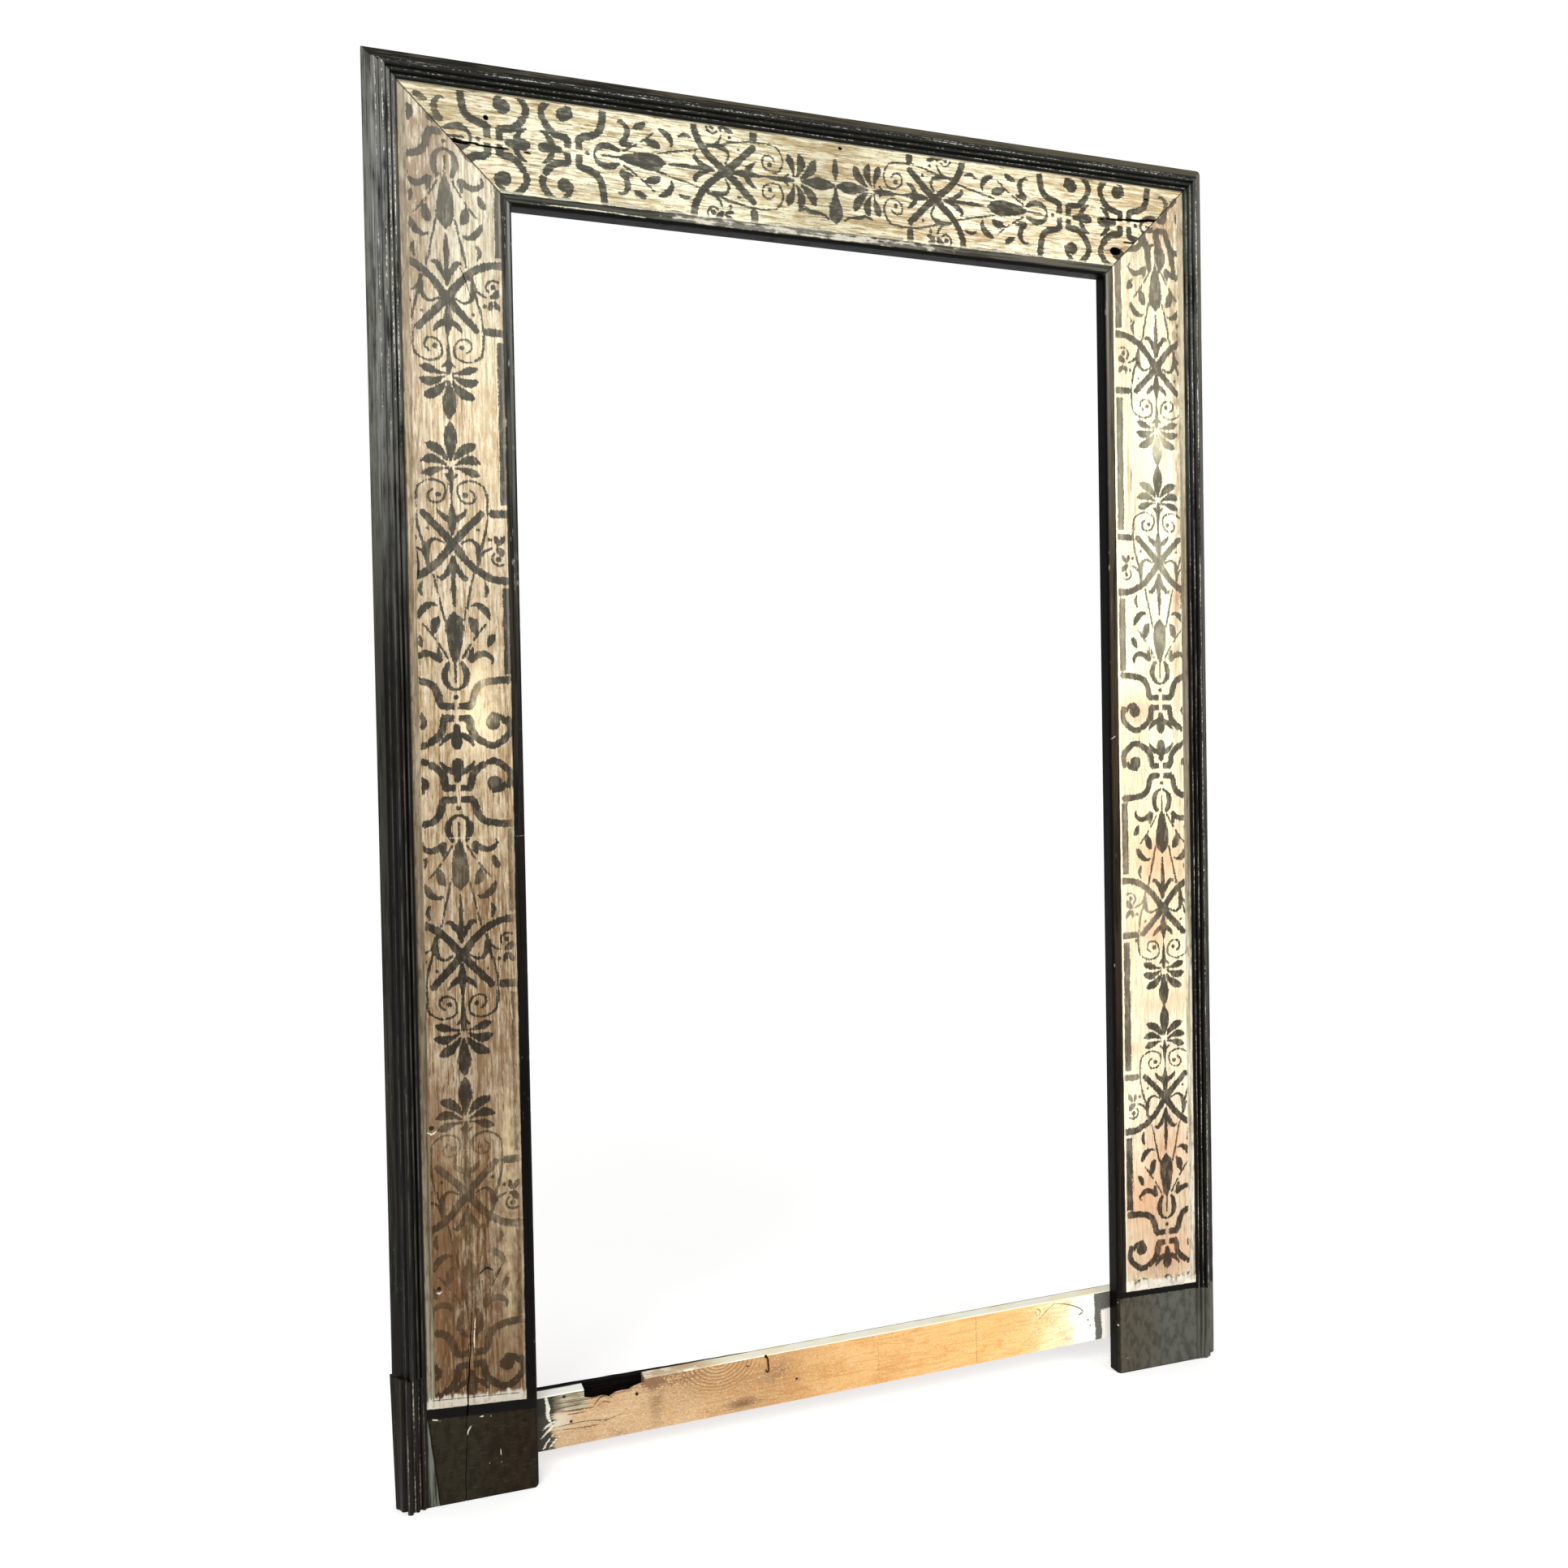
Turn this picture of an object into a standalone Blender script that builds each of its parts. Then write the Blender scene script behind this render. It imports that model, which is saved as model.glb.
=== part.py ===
"""A painted wooden door surround.

Three wide boards are mitred round a doorway. A stepped moulding runs round their outer
edge, with a newer foot piece at its lower left. A plain pine spreader, split at its top
edge, is fixed across the backs of the boards near the floor, with a thin strip behind it.

Units are metres and +Z is up. The painted faces look along -Y and the boards' backs lie
in the plane y = 0, where the surround meets the wall. The origin is the middle of the
back of the head board.
"""
import math
from dataclasses import dataclass

import bmesh
import bpy
from mathutils import Matrix, Vector

# Doorway and boards
OPENING_WIDTH = 1.100
OPENING_HEIGHT = 2.082
BOARD_WIDTH = 0.175
BOARD_THICKNESS = 0.030
ARRIS_RADIUS = 0.007
ARRIS_SEGMENTS = 5

# Gap between pieces that touch
JOINT_GAP = 0.0003

# Moulding, in plan: widths run outwards from the board, heights stand proud of its face
MOULDING_WIDTH = 0.051
INNER_BEAD_RADIUS = 0.0034
MIDDLE_BEAD_RADIUS = 0.0029
MIDDLE_BEAD_RISE = 0.0042
NOSE_RADIUS = 0.0046
NOSE_RISE = 0.0074
GROOVE_WIDTH = 0.0012
LEDGE_DROP = 0.0015
LEDGE_WIDTH = 0.0062
OGEE_WIDTH = 0.0070
OGEE_DROP = 0.0110
BAND_SLOPE = 0.0025
OUTER_ARRIS_RADIUS = 0.0015
BEAD_SEGMENTS = 8
OGEE_SEGMENTS = 8
OUTER_ARRIS_SEGMENTS = 3

# Rounded outer corner at the top right
WORN_CORNER_RADIUS = 0.010
WORN_CORNER_CUTS = 3

# Splits and the lost knot; rises are above the soffit, reaches outwards from the doorway
SPLIT_DEPTH = 0.009
HEAD_SPLIT_LEFT_RISE = 0.0915
HEAD_SPLIT_LEFT_TIP_REACH = 0.060
HEAD_SPLIT_LEFT_TIP_RISE = 0.0900
HEAD_SPLIT_LEFT_WIDTH = 0.0045
HEAD_SPLIT_RIGHT_RISE = 0.1120
HEAD_SPLIT_RIGHT_TIP_REACH = -0.015
HEAD_SPLIT_RIGHT_TIP_RISE = 0.1025
HEAD_SPLIT_RIGHT_WIDTH = 0.0042
FOOT_SPLIT_REACH = 0.117
FOOT_SPLIT_TIP_REACH = 0.103
FOOT_SPLIT_TIP_HEIGHT = 0.270
FOOT_SPLIT_WIDTH = 0.0020
KNOT_REACH = 0.024
KNOT_RISE = 0.048
KNOT_LENGTH = 0.024
KNOT_HEIGHT = 0.016
KNOT_DEPTH = 0.017
KNOT_SIDES = 16
CUTTER_OVERRUN = 0.002

# Newer foot piece of the left moulding
FOOT_HEIGHT = 0.212
FOOT_TOP_WIDTH = 0.0545
FOOT_FLOOR_WIDTH = 0.0495
FOOT_GROOVE_WIDTH = 0.0036

# Spreader across the feet
SPREADER_HEIGHT = 0.0905
SPREADER_THICKNESS = 0.027
SPREADER_LAP = 0.090
SPREADER_FLOOR_GAP = 0.0497
SPREADER_RISE = 0.0174
SPLIT_BACKWARD_DROP = 0.014
SPLIT_EDGE = (
    (-0.4670, 0.0778), (-0.4504, 0.0746), (-0.4381, 0.0760), (-0.4293, 0.0741),
    (-0.4258, 0.0708), (-0.4115, 0.0780), (-0.3883, 0.0778), (-0.3829, 0.0812),
    (-0.3721, 0.0838), (-0.3640, 0.0850),
)

# Strip behind the spreader
STRIP_HEIGHT = 0.062
STRIP_THICKNESS = 0.012
STRIP_FLOOR_GAP = 0.0700

HALF_OPENING = OPENING_WIDTH / 2
SOFFIT_Z = -BOARD_WIDTH / 2
FLOOR_Z = SOFFIT_Z - OPENING_HEIGHT
BOARD_FACE_Y = -BOARD_THICKNESS
MITRE_SETBACK = JOINT_GAP / math.sqrt(2)


@dataclass(frozen=True)
class Section:
    """Widths that set one moulding apart from the other; the rest they share."""

    width: float
    groove: float


def arc_points(centre, radius, start, end, segments):
    """Return points along an arc in the plane of the moulding's section."""
    points = []
    for step in range(segments + 1):
        angle = math.radians(start + (end - start) * step / segments)
        points.append((
            centre[0] + radius * math.cos(angle),
            centre[1] + radius * math.sin(angle),
        ))
    return points


def ogee_points(start, width, drop, segments):
    """Return points down a smooth double curve that starts and ends level."""
    points = []
    for step in range(1, segments + 1):
        share = step / segments
        fall = (1 - math.cos(math.pi * share)) / 2
        points.append((start[0] + width * share, start[1] - drop * fall))
    return points


def section_points(section):
    """Return the moulding's outline as (outward, proud) pairs, back edge included."""
    points = [(0.0, 0.0)]
    inner_centre = (section.groove + INNER_BEAD_RADIUS, 0.0)
    points += arc_points(inner_centre, INNER_BEAD_RADIUS, 180, 0, BEAD_SEGMENTS)
    middle_start = inner_centre[0] + INNER_BEAD_RADIUS + section.groove
    points.append((middle_start, MIDDLE_BEAD_RISE - MIDDLE_BEAD_RADIUS))
    middle_centre = (middle_start + MIDDLE_BEAD_RADIUS, MIDDLE_BEAD_RISE)
    points += arc_points(middle_centre, MIDDLE_BEAD_RADIUS, 150, 15, BEAD_SEGMENTS)
    nose_start = middle_centre[0] + MIDDLE_BEAD_RADIUS + section.groove
    points.append((nose_start, NOSE_RISE - NOSE_RADIUS / 2))
    nose_centre = (nose_start + NOSE_RADIUS, NOSE_RISE)
    points += arc_points(nose_centre, NOSE_RADIUS, 150, 0, BEAD_SEGMENTS)
    ledge_start = (nose_centre[0] + NOSE_RADIUS, -LEDGE_DROP)
    ledge_end = (ledge_start[0] + LEDGE_WIDTH, -LEDGE_DROP)
    points += [ledge_start, ledge_end]
    points += ogee_points(ledge_end, OGEE_WIDTH, OGEE_DROP, OGEE_SEGMENTS)
    band_height = points[-1][1] - BAND_SLOPE
    corner_centre = (section.width - OUTER_ARRIS_RADIUS, band_height - OUTER_ARRIS_RADIUS)
    points += arc_points(corner_centre, OUTER_ARRIS_RADIUS, 90, 0, OUTER_ARRIS_SEGMENTS)
    points += [(section.width, -BOARD_THICKNESS), (0.0, -BOARD_THICKNESS)]
    return points


def make_material(name, colour, roughness):
    """Return a Principled material with one colour and roughness."""
    material = bpy.data.materials.new(name)
    material.use_nodes = True
    shader = material.node_tree.nodes["Principled BSDF"]
    shader.inputs["Base Color"].default_value = (*colour, 1.0)
    shader.inputs["Roughness"].default_value = roughness
    shader.inputs["Metallic"].default_value = 0.0
    return material


def add_object(name, mesh_builder, material):
    """Turn a finished bmesh into a named object and return it."""
    bmesh.ops.recalc_face_normals(mesh_builder, faces=mesh_builder.faces)
    mesh = bpy.data.meshes.new(name)
    mesh_builder.to_mesh(mesh)
    mesh_builder.free()
    piece = bpy.data.objects.new(name, mesh)
    piece.data.materials.append(material)
    bpy.context.scene.collection.objects.link(piece)
    return piece


def extrude_outline(corners, direction):
    """Return a bmesh prism made from a flat outline and an extrusion vector."""
    builder = bmesh.new()
    face = builder.faces.new([builder.verts.new(corner) for corner in corners])
    moved = bmesh.ops.extrude_face_region(builder, geom=[face])["geom"]
    new_verts = [item for item in moved if isinstance(item, bmesh.types.BMVert)]
    bmesh.ops.translate(builder, verts=new_verts, vec=direction)
    return builder


def round_edge(builder, is_wanted, radius, segments):
    """Round the edges whose two ends both pass a test."""
    chosen = [edge for edge in builder.edges if all(is_wanted(vert.co) for vert in edge.verts)]
    bmesh.ops.bevel(
        builder, geom=chosen, offset=radius, offset_type="OFFSET", segments=segments,
        profile=0.5, affect="EDGES", material=-1,
    )


def jamb_board(side, name, material):
    """Build one upright board, mitred at its top, with a rounded inner arris."""
    inner = side * HALF_OPENING
    outer = side * (HALF_OPENING + BOARD_WIDTH)
    corners = (
        (inner, 0, FLOOR_Z),
        (outer, 0, FLOOR_Z),
        (outer, 0, SOFFIT_Z + BOARD_WIDTH - MITRE_SETBACK),
        (inner, 0, SOFFIT_Z - MITRE_SETBACK),
    )
    builder = extrude_outline(corners, (0, BOARD_FACE_Y, 0))

    def on_arris(point):
        return abs(point.x - inner) < JOINT_GAP and abs(point.y - BOARD_FACE_Y) < JOINT_GAP

    round_edge(builder, on_arris, ARRIS_RADIUS, ARRIS_SEGMENTS)
    return add_object(name, builder, material)


def head_board(material):
    """Build the board over the doorway, mitred at both ends."""
    inner = HALF_OPENING - MITRE_SETBACK
    outer = HALF_OPENING + BOARD_WIDTH - MITRE_SETBACK
    corners = (
        (-inner, 0, SOFFIT_Z),
        (inner, 0, SOFFIT_Z),
        (outer, 0, SOFFIT_Z + BOARD_WIDTH),
        (-outer, 0, SOFFIT_Z + BOARD_WIDTH),
    )
    builder = extrude_outline(corners, (0, BOARD_FACE_Y, 0))

    def on_arris(point):
        return abs(point.z - SOFFIT_Z) < JOINT_GAP and abs(point.y - BOARD_FACE_Y) < JOINT_GAP

    round_edge(builder, on_arris, ARRIS_RADIUS, ARRIS_SEGMENTS)
    return add_object("head_board", builder, material)


def cut_out(board, name, builder):
    """Take a cutter's shape out of a board with a live Boolean."""
    bmesh.ops.recalc_face_normals(builder, faces=builder.faces)
    mesh = bpy.data.meshes.new(name)
    builder.to_mesh(mesh)
    builder.free()
    cutter = bpy.data.objects.new(name, mesh)
    cutter.display_type = "WIRE"
    cutter.hide_render = True
    bpy.context.scene.collection.objects.link(cutter)
    cut = board.modifiers.new(name, "BOOLEAN")
    cut.operation = "DIFFERENCE"
    cut.solver = "EXACT"
    cut.object = cutter


def cut_split(board, name, mouth, tip, width):
    """Cut a thin wedge into a board's face, from an open mouth to a closed tip."""
    run = (Vector(tip) - Vector(mouth)).normalized()
    across = Vector((-run.y, run.x)) * width / 2
    start = Vector(mouth) - run * CUTTER_OVERRUN
    face_y = BOARD_FACE_Y - CUTTER_OVERRUN
    corners = [
        (point.x, face_y, point.y) for point in (start - across, Vector(tip), start + across)
    ]
    depth = SPLIT_DEPTH + CUTTER_OVERRUN
    cut_out(board, name, extrude_outline(corners, (0, depth, 0)))


def cut_head_splits(board):
    """Cut the head board's two splits, which run in from its mitres."""
    cut_split(
        board, "head_split_left_cutter",
        (-HALF_OPENING - HEAD_SPLIT_LEFT_RISE, SOFFIT_Z + HEAD_SPLIT_LEFT_RISE),
        (-HALF_OPENING - HEAD_SPLIT_LEFT_TIP_REACH, SOFFIT_Z + HEAD_SPLIT_LEFT_TIP_RISE),
        HEAD_SPLIT_LEFT_WIDTH,
    )
    cut_split(
        board, "head_split_right_cutter",
        (HALF_OPENING + HEAD_SPLIT_RIGHT_RISE, SOFFIT_Z + HEAD_SPLIT_RIGHT_RISE),
        (HALF_OPENING + HEAD_SPLIT_RIGHT_TIP_REACH, SOFFIT_Z + HEAD_SPLIT_RIGHT_TIP_RISE),
        HEAD_SPLIT_RIGHT_WIDTH,
    )


def cut_foot_split(board):
    """Cut the split that runs up the left jamb from the floor."""
    cut_split(
        board, "foot_split_cutter",
        (-HALF_OPENING - FOOT_SPLIT_REACH, FLOOR_Z),
        (-HALF_OPENING - FOOT_SPLIT_TIP_REACH, FLOOR_Z + FOOT_SPLIT_TIP_HEIGHT),
        FOOT_SPLIT_WIDTH,
    )


def cut_lost_knot(board):
    """Cut the oval hole that a knot fell out of, near the right mitre."""
    builder = bmesh.new()
    depth = KNOT_DEPTH + CUTTER_OVERRUN
    bmesh.ops.create_cone(
        builder, cap_ends=True, segments=KNOT_SIDES, radius1=0.5, radius2=0.5, depth=depth,
    )
    place = Matrix.Translation((
        HALF_OPENING + KNOT_REACH, BOARD_FACE_Y - CUTTER_OVERRUN + depth / 2,
        SOFFIT_Z + KNOT_RISE,
    ))
    size = Matrix.Diagonal((KNOT_LENGTH, KNOT_HEIGHT, 1.0, 1.0))
    builder.transform(place @ Matrix.Rotation(math.pi / 2, 4, "X") @ size)
    cut_out(board, "lost_knot_cutter", builder)


def run_section(start_ring, end_ring):
    """Return a bmesh bar that joins two rings of as many points and is closed at its ends."""
    builder = bmesh.new()
    first = [builder.verts.new(point) for point in start_ring]
    last = [builder.verts.new(point) for point in end_ring]
    count = len(first)
    edges = []
    for ring in (first, last):
        edges += [builder.edges.new((ring[i], ring[(i + 1) % count])) for i in range(count)]
    bmesh.ops.bridge_loops(builder, edges=edges)
    builder.faces.new(first)
    builder.faces.new(last)
    return builder


def wear_corner(builder):
    """Cut the outer top right corner back to a round one with flat cuts."""
    reach = BOARD_WIDTH + JOINT_GAP + MOULDING_WIDTH - WORN_CORNER_RADIUS
    centre = Vector((HALF_OPENING + reach, 0, SOFFIT_Z + reach))
    for cut in range(1, WORN_CORNER_CUTS + 1):
        angle = math.pi / 2 * cut / (WORN_CORNER_CUTS + 1)
        normal = Vector((math.cos(angle), 0, math.sin(angle)))
        result = bmesh.ops.bisect_plane(
            builder, geom=builder.verts[:] + builder.edges[:] + builder.faces[:],
            plane_co=centre + normal * WORN_CORNER_RADIUS, plane_no=normal,
            clear_outer=True,
        )
        rim = [item for item in result["geom_cut"] if isinstance(item, bmesh.types.BMEdge)]
        if rim:
            bmesh.ops.contextual_create(builder, geom=rim)


def upright_moulding(side, name, start_z, material):
    """Build one upright moulding from a height up to its mitre."""
    edge = HALF_OPENING + BOARD_WIDTH + JOINT_GAP
    outline = section_points(Section(MOULDING_WIDTH, GROOVE_WIDTH))
    low = []
    high = []
    for outward, proud in outline:
        x = side * (edge + outward)
        y = BOARD_FACE_Y - proud
        low.append((x, y, start_z))
        high.append((x, y, SOFFIT_Z + BOARD_WIDTH + JOINT_GAP + outward - MITRE_SETBACK))
    builder = run_section(low, high)
    if side > 0:
        wear_corner(builder)
    return add_object(name, builder, material)


def head_moulding(material):
    """Build the moulding over the head board, mitred at both ends."""
    edge = HALF_OPENING + BOARD_WIDTH + JOINT_GAP
    outline = section_points(Section(MOULDING_WIDTH, GROOVE_WIDTH))
    left = []
    right = []
    for outward, proud in outline:
        reach = edge + outward - MITRE_SETBACK
        y = BOARD_FACE_Y - proud
        z = SOFFIT_Z + BOARD_WIDTH + JOINT_GAP + outward
        left.append((-reach, y, z))
        right.append((reach, y, z))
    builder = run_section(left, right)
    wear_corner(builder)
    return add_object("moulding_head", builder, material)


def foot_moulding(material):
    """Build the newer foot piece of the left moulding, wider at its top."""
    edge = HALF_OPENING + BOARD_WIDTH + JOINT_GAP
    floor_outline = section_points(Section(FOOT_FLOOR_WIDTH, FOOT_GROOVE_WIDTH))
    top_outline = section_points(Section(FOOT_TOP_WIDTH, FOOT_GROOVE_WIDTH))
    low = [(-edge - out, BOARD_FACE_Y - proud, FLOOR_Z) for out, proud in floor_outline]
    top_z = FLOOR_Z + FOOT_HEIGHT
    high = [(-edge - out, BOARD_FACE_Y - proud, top_z) for out, proud in top_outline]
    return add_object("moulding_left_foot", run_section(low, high), material)


def spreader_ring(depth, split_drop):
    """Return one face's outline of the spreader, with the split in its top edge."""
    half = HALF_OPENING + SPREADER_LAP
    first = SPLIT_EDGE[0][0]
    last = SPLIT_EDGE[-1][0]
    ring = [(-half, depth, 0), (half, depth, 0), (half, depth, SPREADER_HEIGHT)]
    ring.append((last, depth, SPREADER_HEIGHT))
    ring += [(along, depth, up - split_drop) for along, up in reversed(SPLIT_EDGE)]
    ring.append((first, depth, SPREADER_HEIGHT))
    ring.append((-half, depth, SPREADER_HEIGHT))
    return ring


def spreader(material):
    """Build the pine board across the feet, tilted a little and split at its top edge."""
    front = spreader_ring(0.0, 0.0)
    back = spreader_ring(SPREADER_THICKNESS, SPLIT_BACKWARD_DROP)
    builder = run_section(front, back)
    tilt = math.atan2(SPREADER_RISE, OPENING_WIDTH)
    place = Matrix.Translation((0, JOINT_GAP, FLOOR_Z + SPREADER_FLOOR_GAP))
    builder.transform(place @ Matrix.Rotation(-tilt, 4, "Y"))
    bmesh.ops.triangulate(builder, faces=builder.faces[:])
    return add_object("spreader", builder, material)


def backing_strip(material):
    """Build the thin level strip fixed to the back of the spreader."""
    half = HALF_OPENING + SPREADER_LAP
    low = FLOOR_Z + STRIP_FLOOR_GAP
    start = JOINT_GAP + SPREADER_THICKNESS + JOINT_GAP
    corners = (
        (-half, start, low),
        (half, start, low),
        (half, start, low + STRIP_HEIGHT),
        (-half, start, low + STRIP_HEIGHT),
    )
    return add_object("spreader_strip", extrude_outline(corners, (0, STRIP_THICKNESS, 0)), material)


def clear_scene():
    """Remove every object that the scene starts with."""
    for item in list(bpy.data.objects):
        bpy.data.objects.remove(item, do_unlink=True)


def build():
    """Build every piece of the surround."""
    clear_scene()
    painted = make_material("painted_board", (0.70, 0.58, 0.38), 0.55)
    black = make_material("black_moulding", (0.02, 0.02, 0.018), 0.35)
    pine = make_material("raw_pine", (0.62, 0.38, 0.17), 0.7)
    dark = make_material("dark_strip", (0.015, 0.013, 0.012), 0.8)
    left_board = jamb_board(-1, "jamb_board_left", painted)
    cut_foot_split(left_board)
    jamb_board(1, "jamb_board_right", painted)
    top_board = head_board(painted)
    cut_head_splits(top_board)
    cut_lost_knot(top_board)
    upright_moulding(-1, "moulding_left", FLOOR_Z + FOOT_HEIGHT + JOINT_GAP, black)
    upright_moulding(1, "moulding_right", FLOOR_Z, black)
    head_moulding(black)
    foot_moulding(black)
    spreader(pine)
    backing_strip(dark)


build()
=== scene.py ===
"""Looks of an old painted wooden door surround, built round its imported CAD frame.

Three wide boards are mitred round a doorway and stencilled with strapwork. A stepped black
moulding runs round their outer edge, with a newer foot piece at its lower left. A raw pine
spreader with a broken top edge ties the feet, with a dark strip behind it.

Meshes are in metres, in the frame of the CAD. The stencil, the paint zones and the marks of
wear are laid out in millimetres, as they would be marked on the boards: along the board, and
across it from the doorway edge outwards.
"""

import logging
import math
from collections.abc import Iterable
from dataclasses import dataclass, field, replace
from enum import Enum

import bmesh
import bpy
import numpy as np
from mathutils import Matrix, Vector, noise


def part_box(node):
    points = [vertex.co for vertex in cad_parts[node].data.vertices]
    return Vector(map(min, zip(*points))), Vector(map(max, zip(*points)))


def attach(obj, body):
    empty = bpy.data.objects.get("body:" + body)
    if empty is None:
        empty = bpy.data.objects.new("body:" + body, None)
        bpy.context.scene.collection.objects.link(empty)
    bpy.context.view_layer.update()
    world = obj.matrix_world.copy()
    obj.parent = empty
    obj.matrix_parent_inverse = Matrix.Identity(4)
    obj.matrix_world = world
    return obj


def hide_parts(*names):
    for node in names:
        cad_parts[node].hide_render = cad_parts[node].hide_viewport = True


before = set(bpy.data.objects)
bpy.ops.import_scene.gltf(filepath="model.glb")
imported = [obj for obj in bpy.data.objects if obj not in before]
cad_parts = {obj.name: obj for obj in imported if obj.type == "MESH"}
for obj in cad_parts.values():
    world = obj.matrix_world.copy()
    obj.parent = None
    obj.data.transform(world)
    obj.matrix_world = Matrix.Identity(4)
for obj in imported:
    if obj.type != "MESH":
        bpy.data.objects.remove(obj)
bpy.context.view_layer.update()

logging.basicConfig(level=logging.INFO, format="%(name)s: %(message)s")
log = logging.getLogger("door_surround")

Colour = tuple[float, float, float, float]
Stops = tuple[tuple[float, Colour], ...]
Point = tuple[float, float]
Place = tuple[float, float, float]

MILLIMETRE = 0.001

# Doorway and boards, as in the CAD
HALF_OPENING = 0.550
OPENING_HEIGHT = 2.082
BOARD_WIDTH = 0.175
BOARD_THICKNESS = 0.030
ARRIS_RADIUS = 0.007
JOINT_GAP = 0.0003
SOFFIT_Z = -BOARD_WIDTH / 2
FLOOR_Z = SOFFIT_Z - OPENING_HEIGHT
MITRE_SETBACK = JOINT_GAP / math.sqrt(2)

# How far the stencil's signed distance is kept, in millimetres
STENCIL_REACH = 6.0
# The middle of a noise that runs from 0 to 1
NOISE_MEAN = 0.5
# The side attribute of the faces of the boards and the spreader
FRONT, EDGE, BARE = 0.0, 1.0, 2.0


def swatch(red: int, green: int, blue: int) -> Colour:
    """Return the linear colour of a swatch given as screen values from 0 to 255."""
    linear = []
    for level in (red, green, blue):
        share = level / 255
        linear.append(share / 12.92 if share <= 0.04045 else ((share + 0.055) / 1.055) ** 2.4)
    return (linear[0], linear[1], linear[2], 1.0)


def stops(*rows: tuple[float, int, int, int]) -> Stops:
    """Return a ramp's stops from rows of place, red, green and blue."""
    return tuple((place, swatch(*levels)) for place, *levels in rows)


class Grain(Enum):
    """The way that a board's grain runs in the shared frame."""

    ALONG_X = (1.0, 0.0, 0.0)
    ALONG_Z = (0.0, 0.0, 1.0)

    @property
    def axis(self) -> int:
        """Return the index of the axis that the grain follows."""
        return self.value.index(1.0)

    def stretch(self, across: float, along: float) -> Place:
        """Return noise scales per metre, across the grain and along it."""
        return tuple(along if axis else across for axis in self.value)


class Signal:
    """A shader socket that Python's arithmetic works on."""

    def __init__(self, sheet: "ShaderSheet", socket: bpy.types.NodeSocket) -> None:
        """Wrap one output socket of a sheet's node tree."""
        self.sheet = sheet
        self.socket = socket

    def _math(self, operation: str, *terms: "Signal | float") -> "Signal":
        """Return the result of one Math node on the given terms."""
        return self.sheet.add("ShaderNodeMath", {"operation": operation}, dict(enumerate(terms)))

    def __add__(self, other: "Signal | float") -> "Signal":
        """Return the sum."""
        return self._math("ADD", self, other)

    __radd__ = __add__

    def __mul__(self, other: "Signal | float") -> "Signal":
        """Return the product."""
        return self._math("MULTIPLY", self, other)

    __rmul__ = __mul__

    def __sub__(self, other: "Signal | float") -> "Signal":
        """Return the difference."""
        return self._math("SUBTRACT", self, other)

    def __rsub__(self, other: float) -> "Signal":
        """Return a number minus this signal."""
        return self._math("SUBTRACT", other, self)

    def __truediv__(self, other: "Signal | float") -> "Signal":
        """Return the quotient."""
        return self._math("DIVIDE", self, other)

    def at_least(self, other: "Signal | float") -> "Signal":
        """Return the larger of the two."""
        return self._math("MAXIMUM", self, other)

    def at_most(self, other: "Signal | float") -> "Signal":
        """Return the smaller of the two."""
        return self._math("MINIMUM", self, other)

    def rise(self, low: float, high: float) -> "Signal":
        """Return a smooth step.

        Args:
            low: the value where the step starts at 0.
            high: the value where it reaches 1.

        Returns:
            A signal from 0 to 1.
        """
        return self.sheet.add(
            "ShaderNodeMapRange", {"interpolation_type": "SMOOTHSTEP"}, {0: self, 1: low, 2: high}
        )

    def fall(self, low: float, high: float) -> "Signal":
        """Return 1 below low, 0 above high and a smooth step between them."""
        return 1.0 - self.rise(low, high)

    def swing(self, width: float) -> "Signal":
        """Return a noise moved to both sides of 0 and spread over the given width."""
        return (self - NOISE_MEAN) * width

    def within(self, low: float, high: float, soft: float) -> "Signal":
        """Return 1 between two values, with soft edges of the given width."""
        return self.rise(low - soft, low + soft) * self.fall(high - soft, high + soft)


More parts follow.
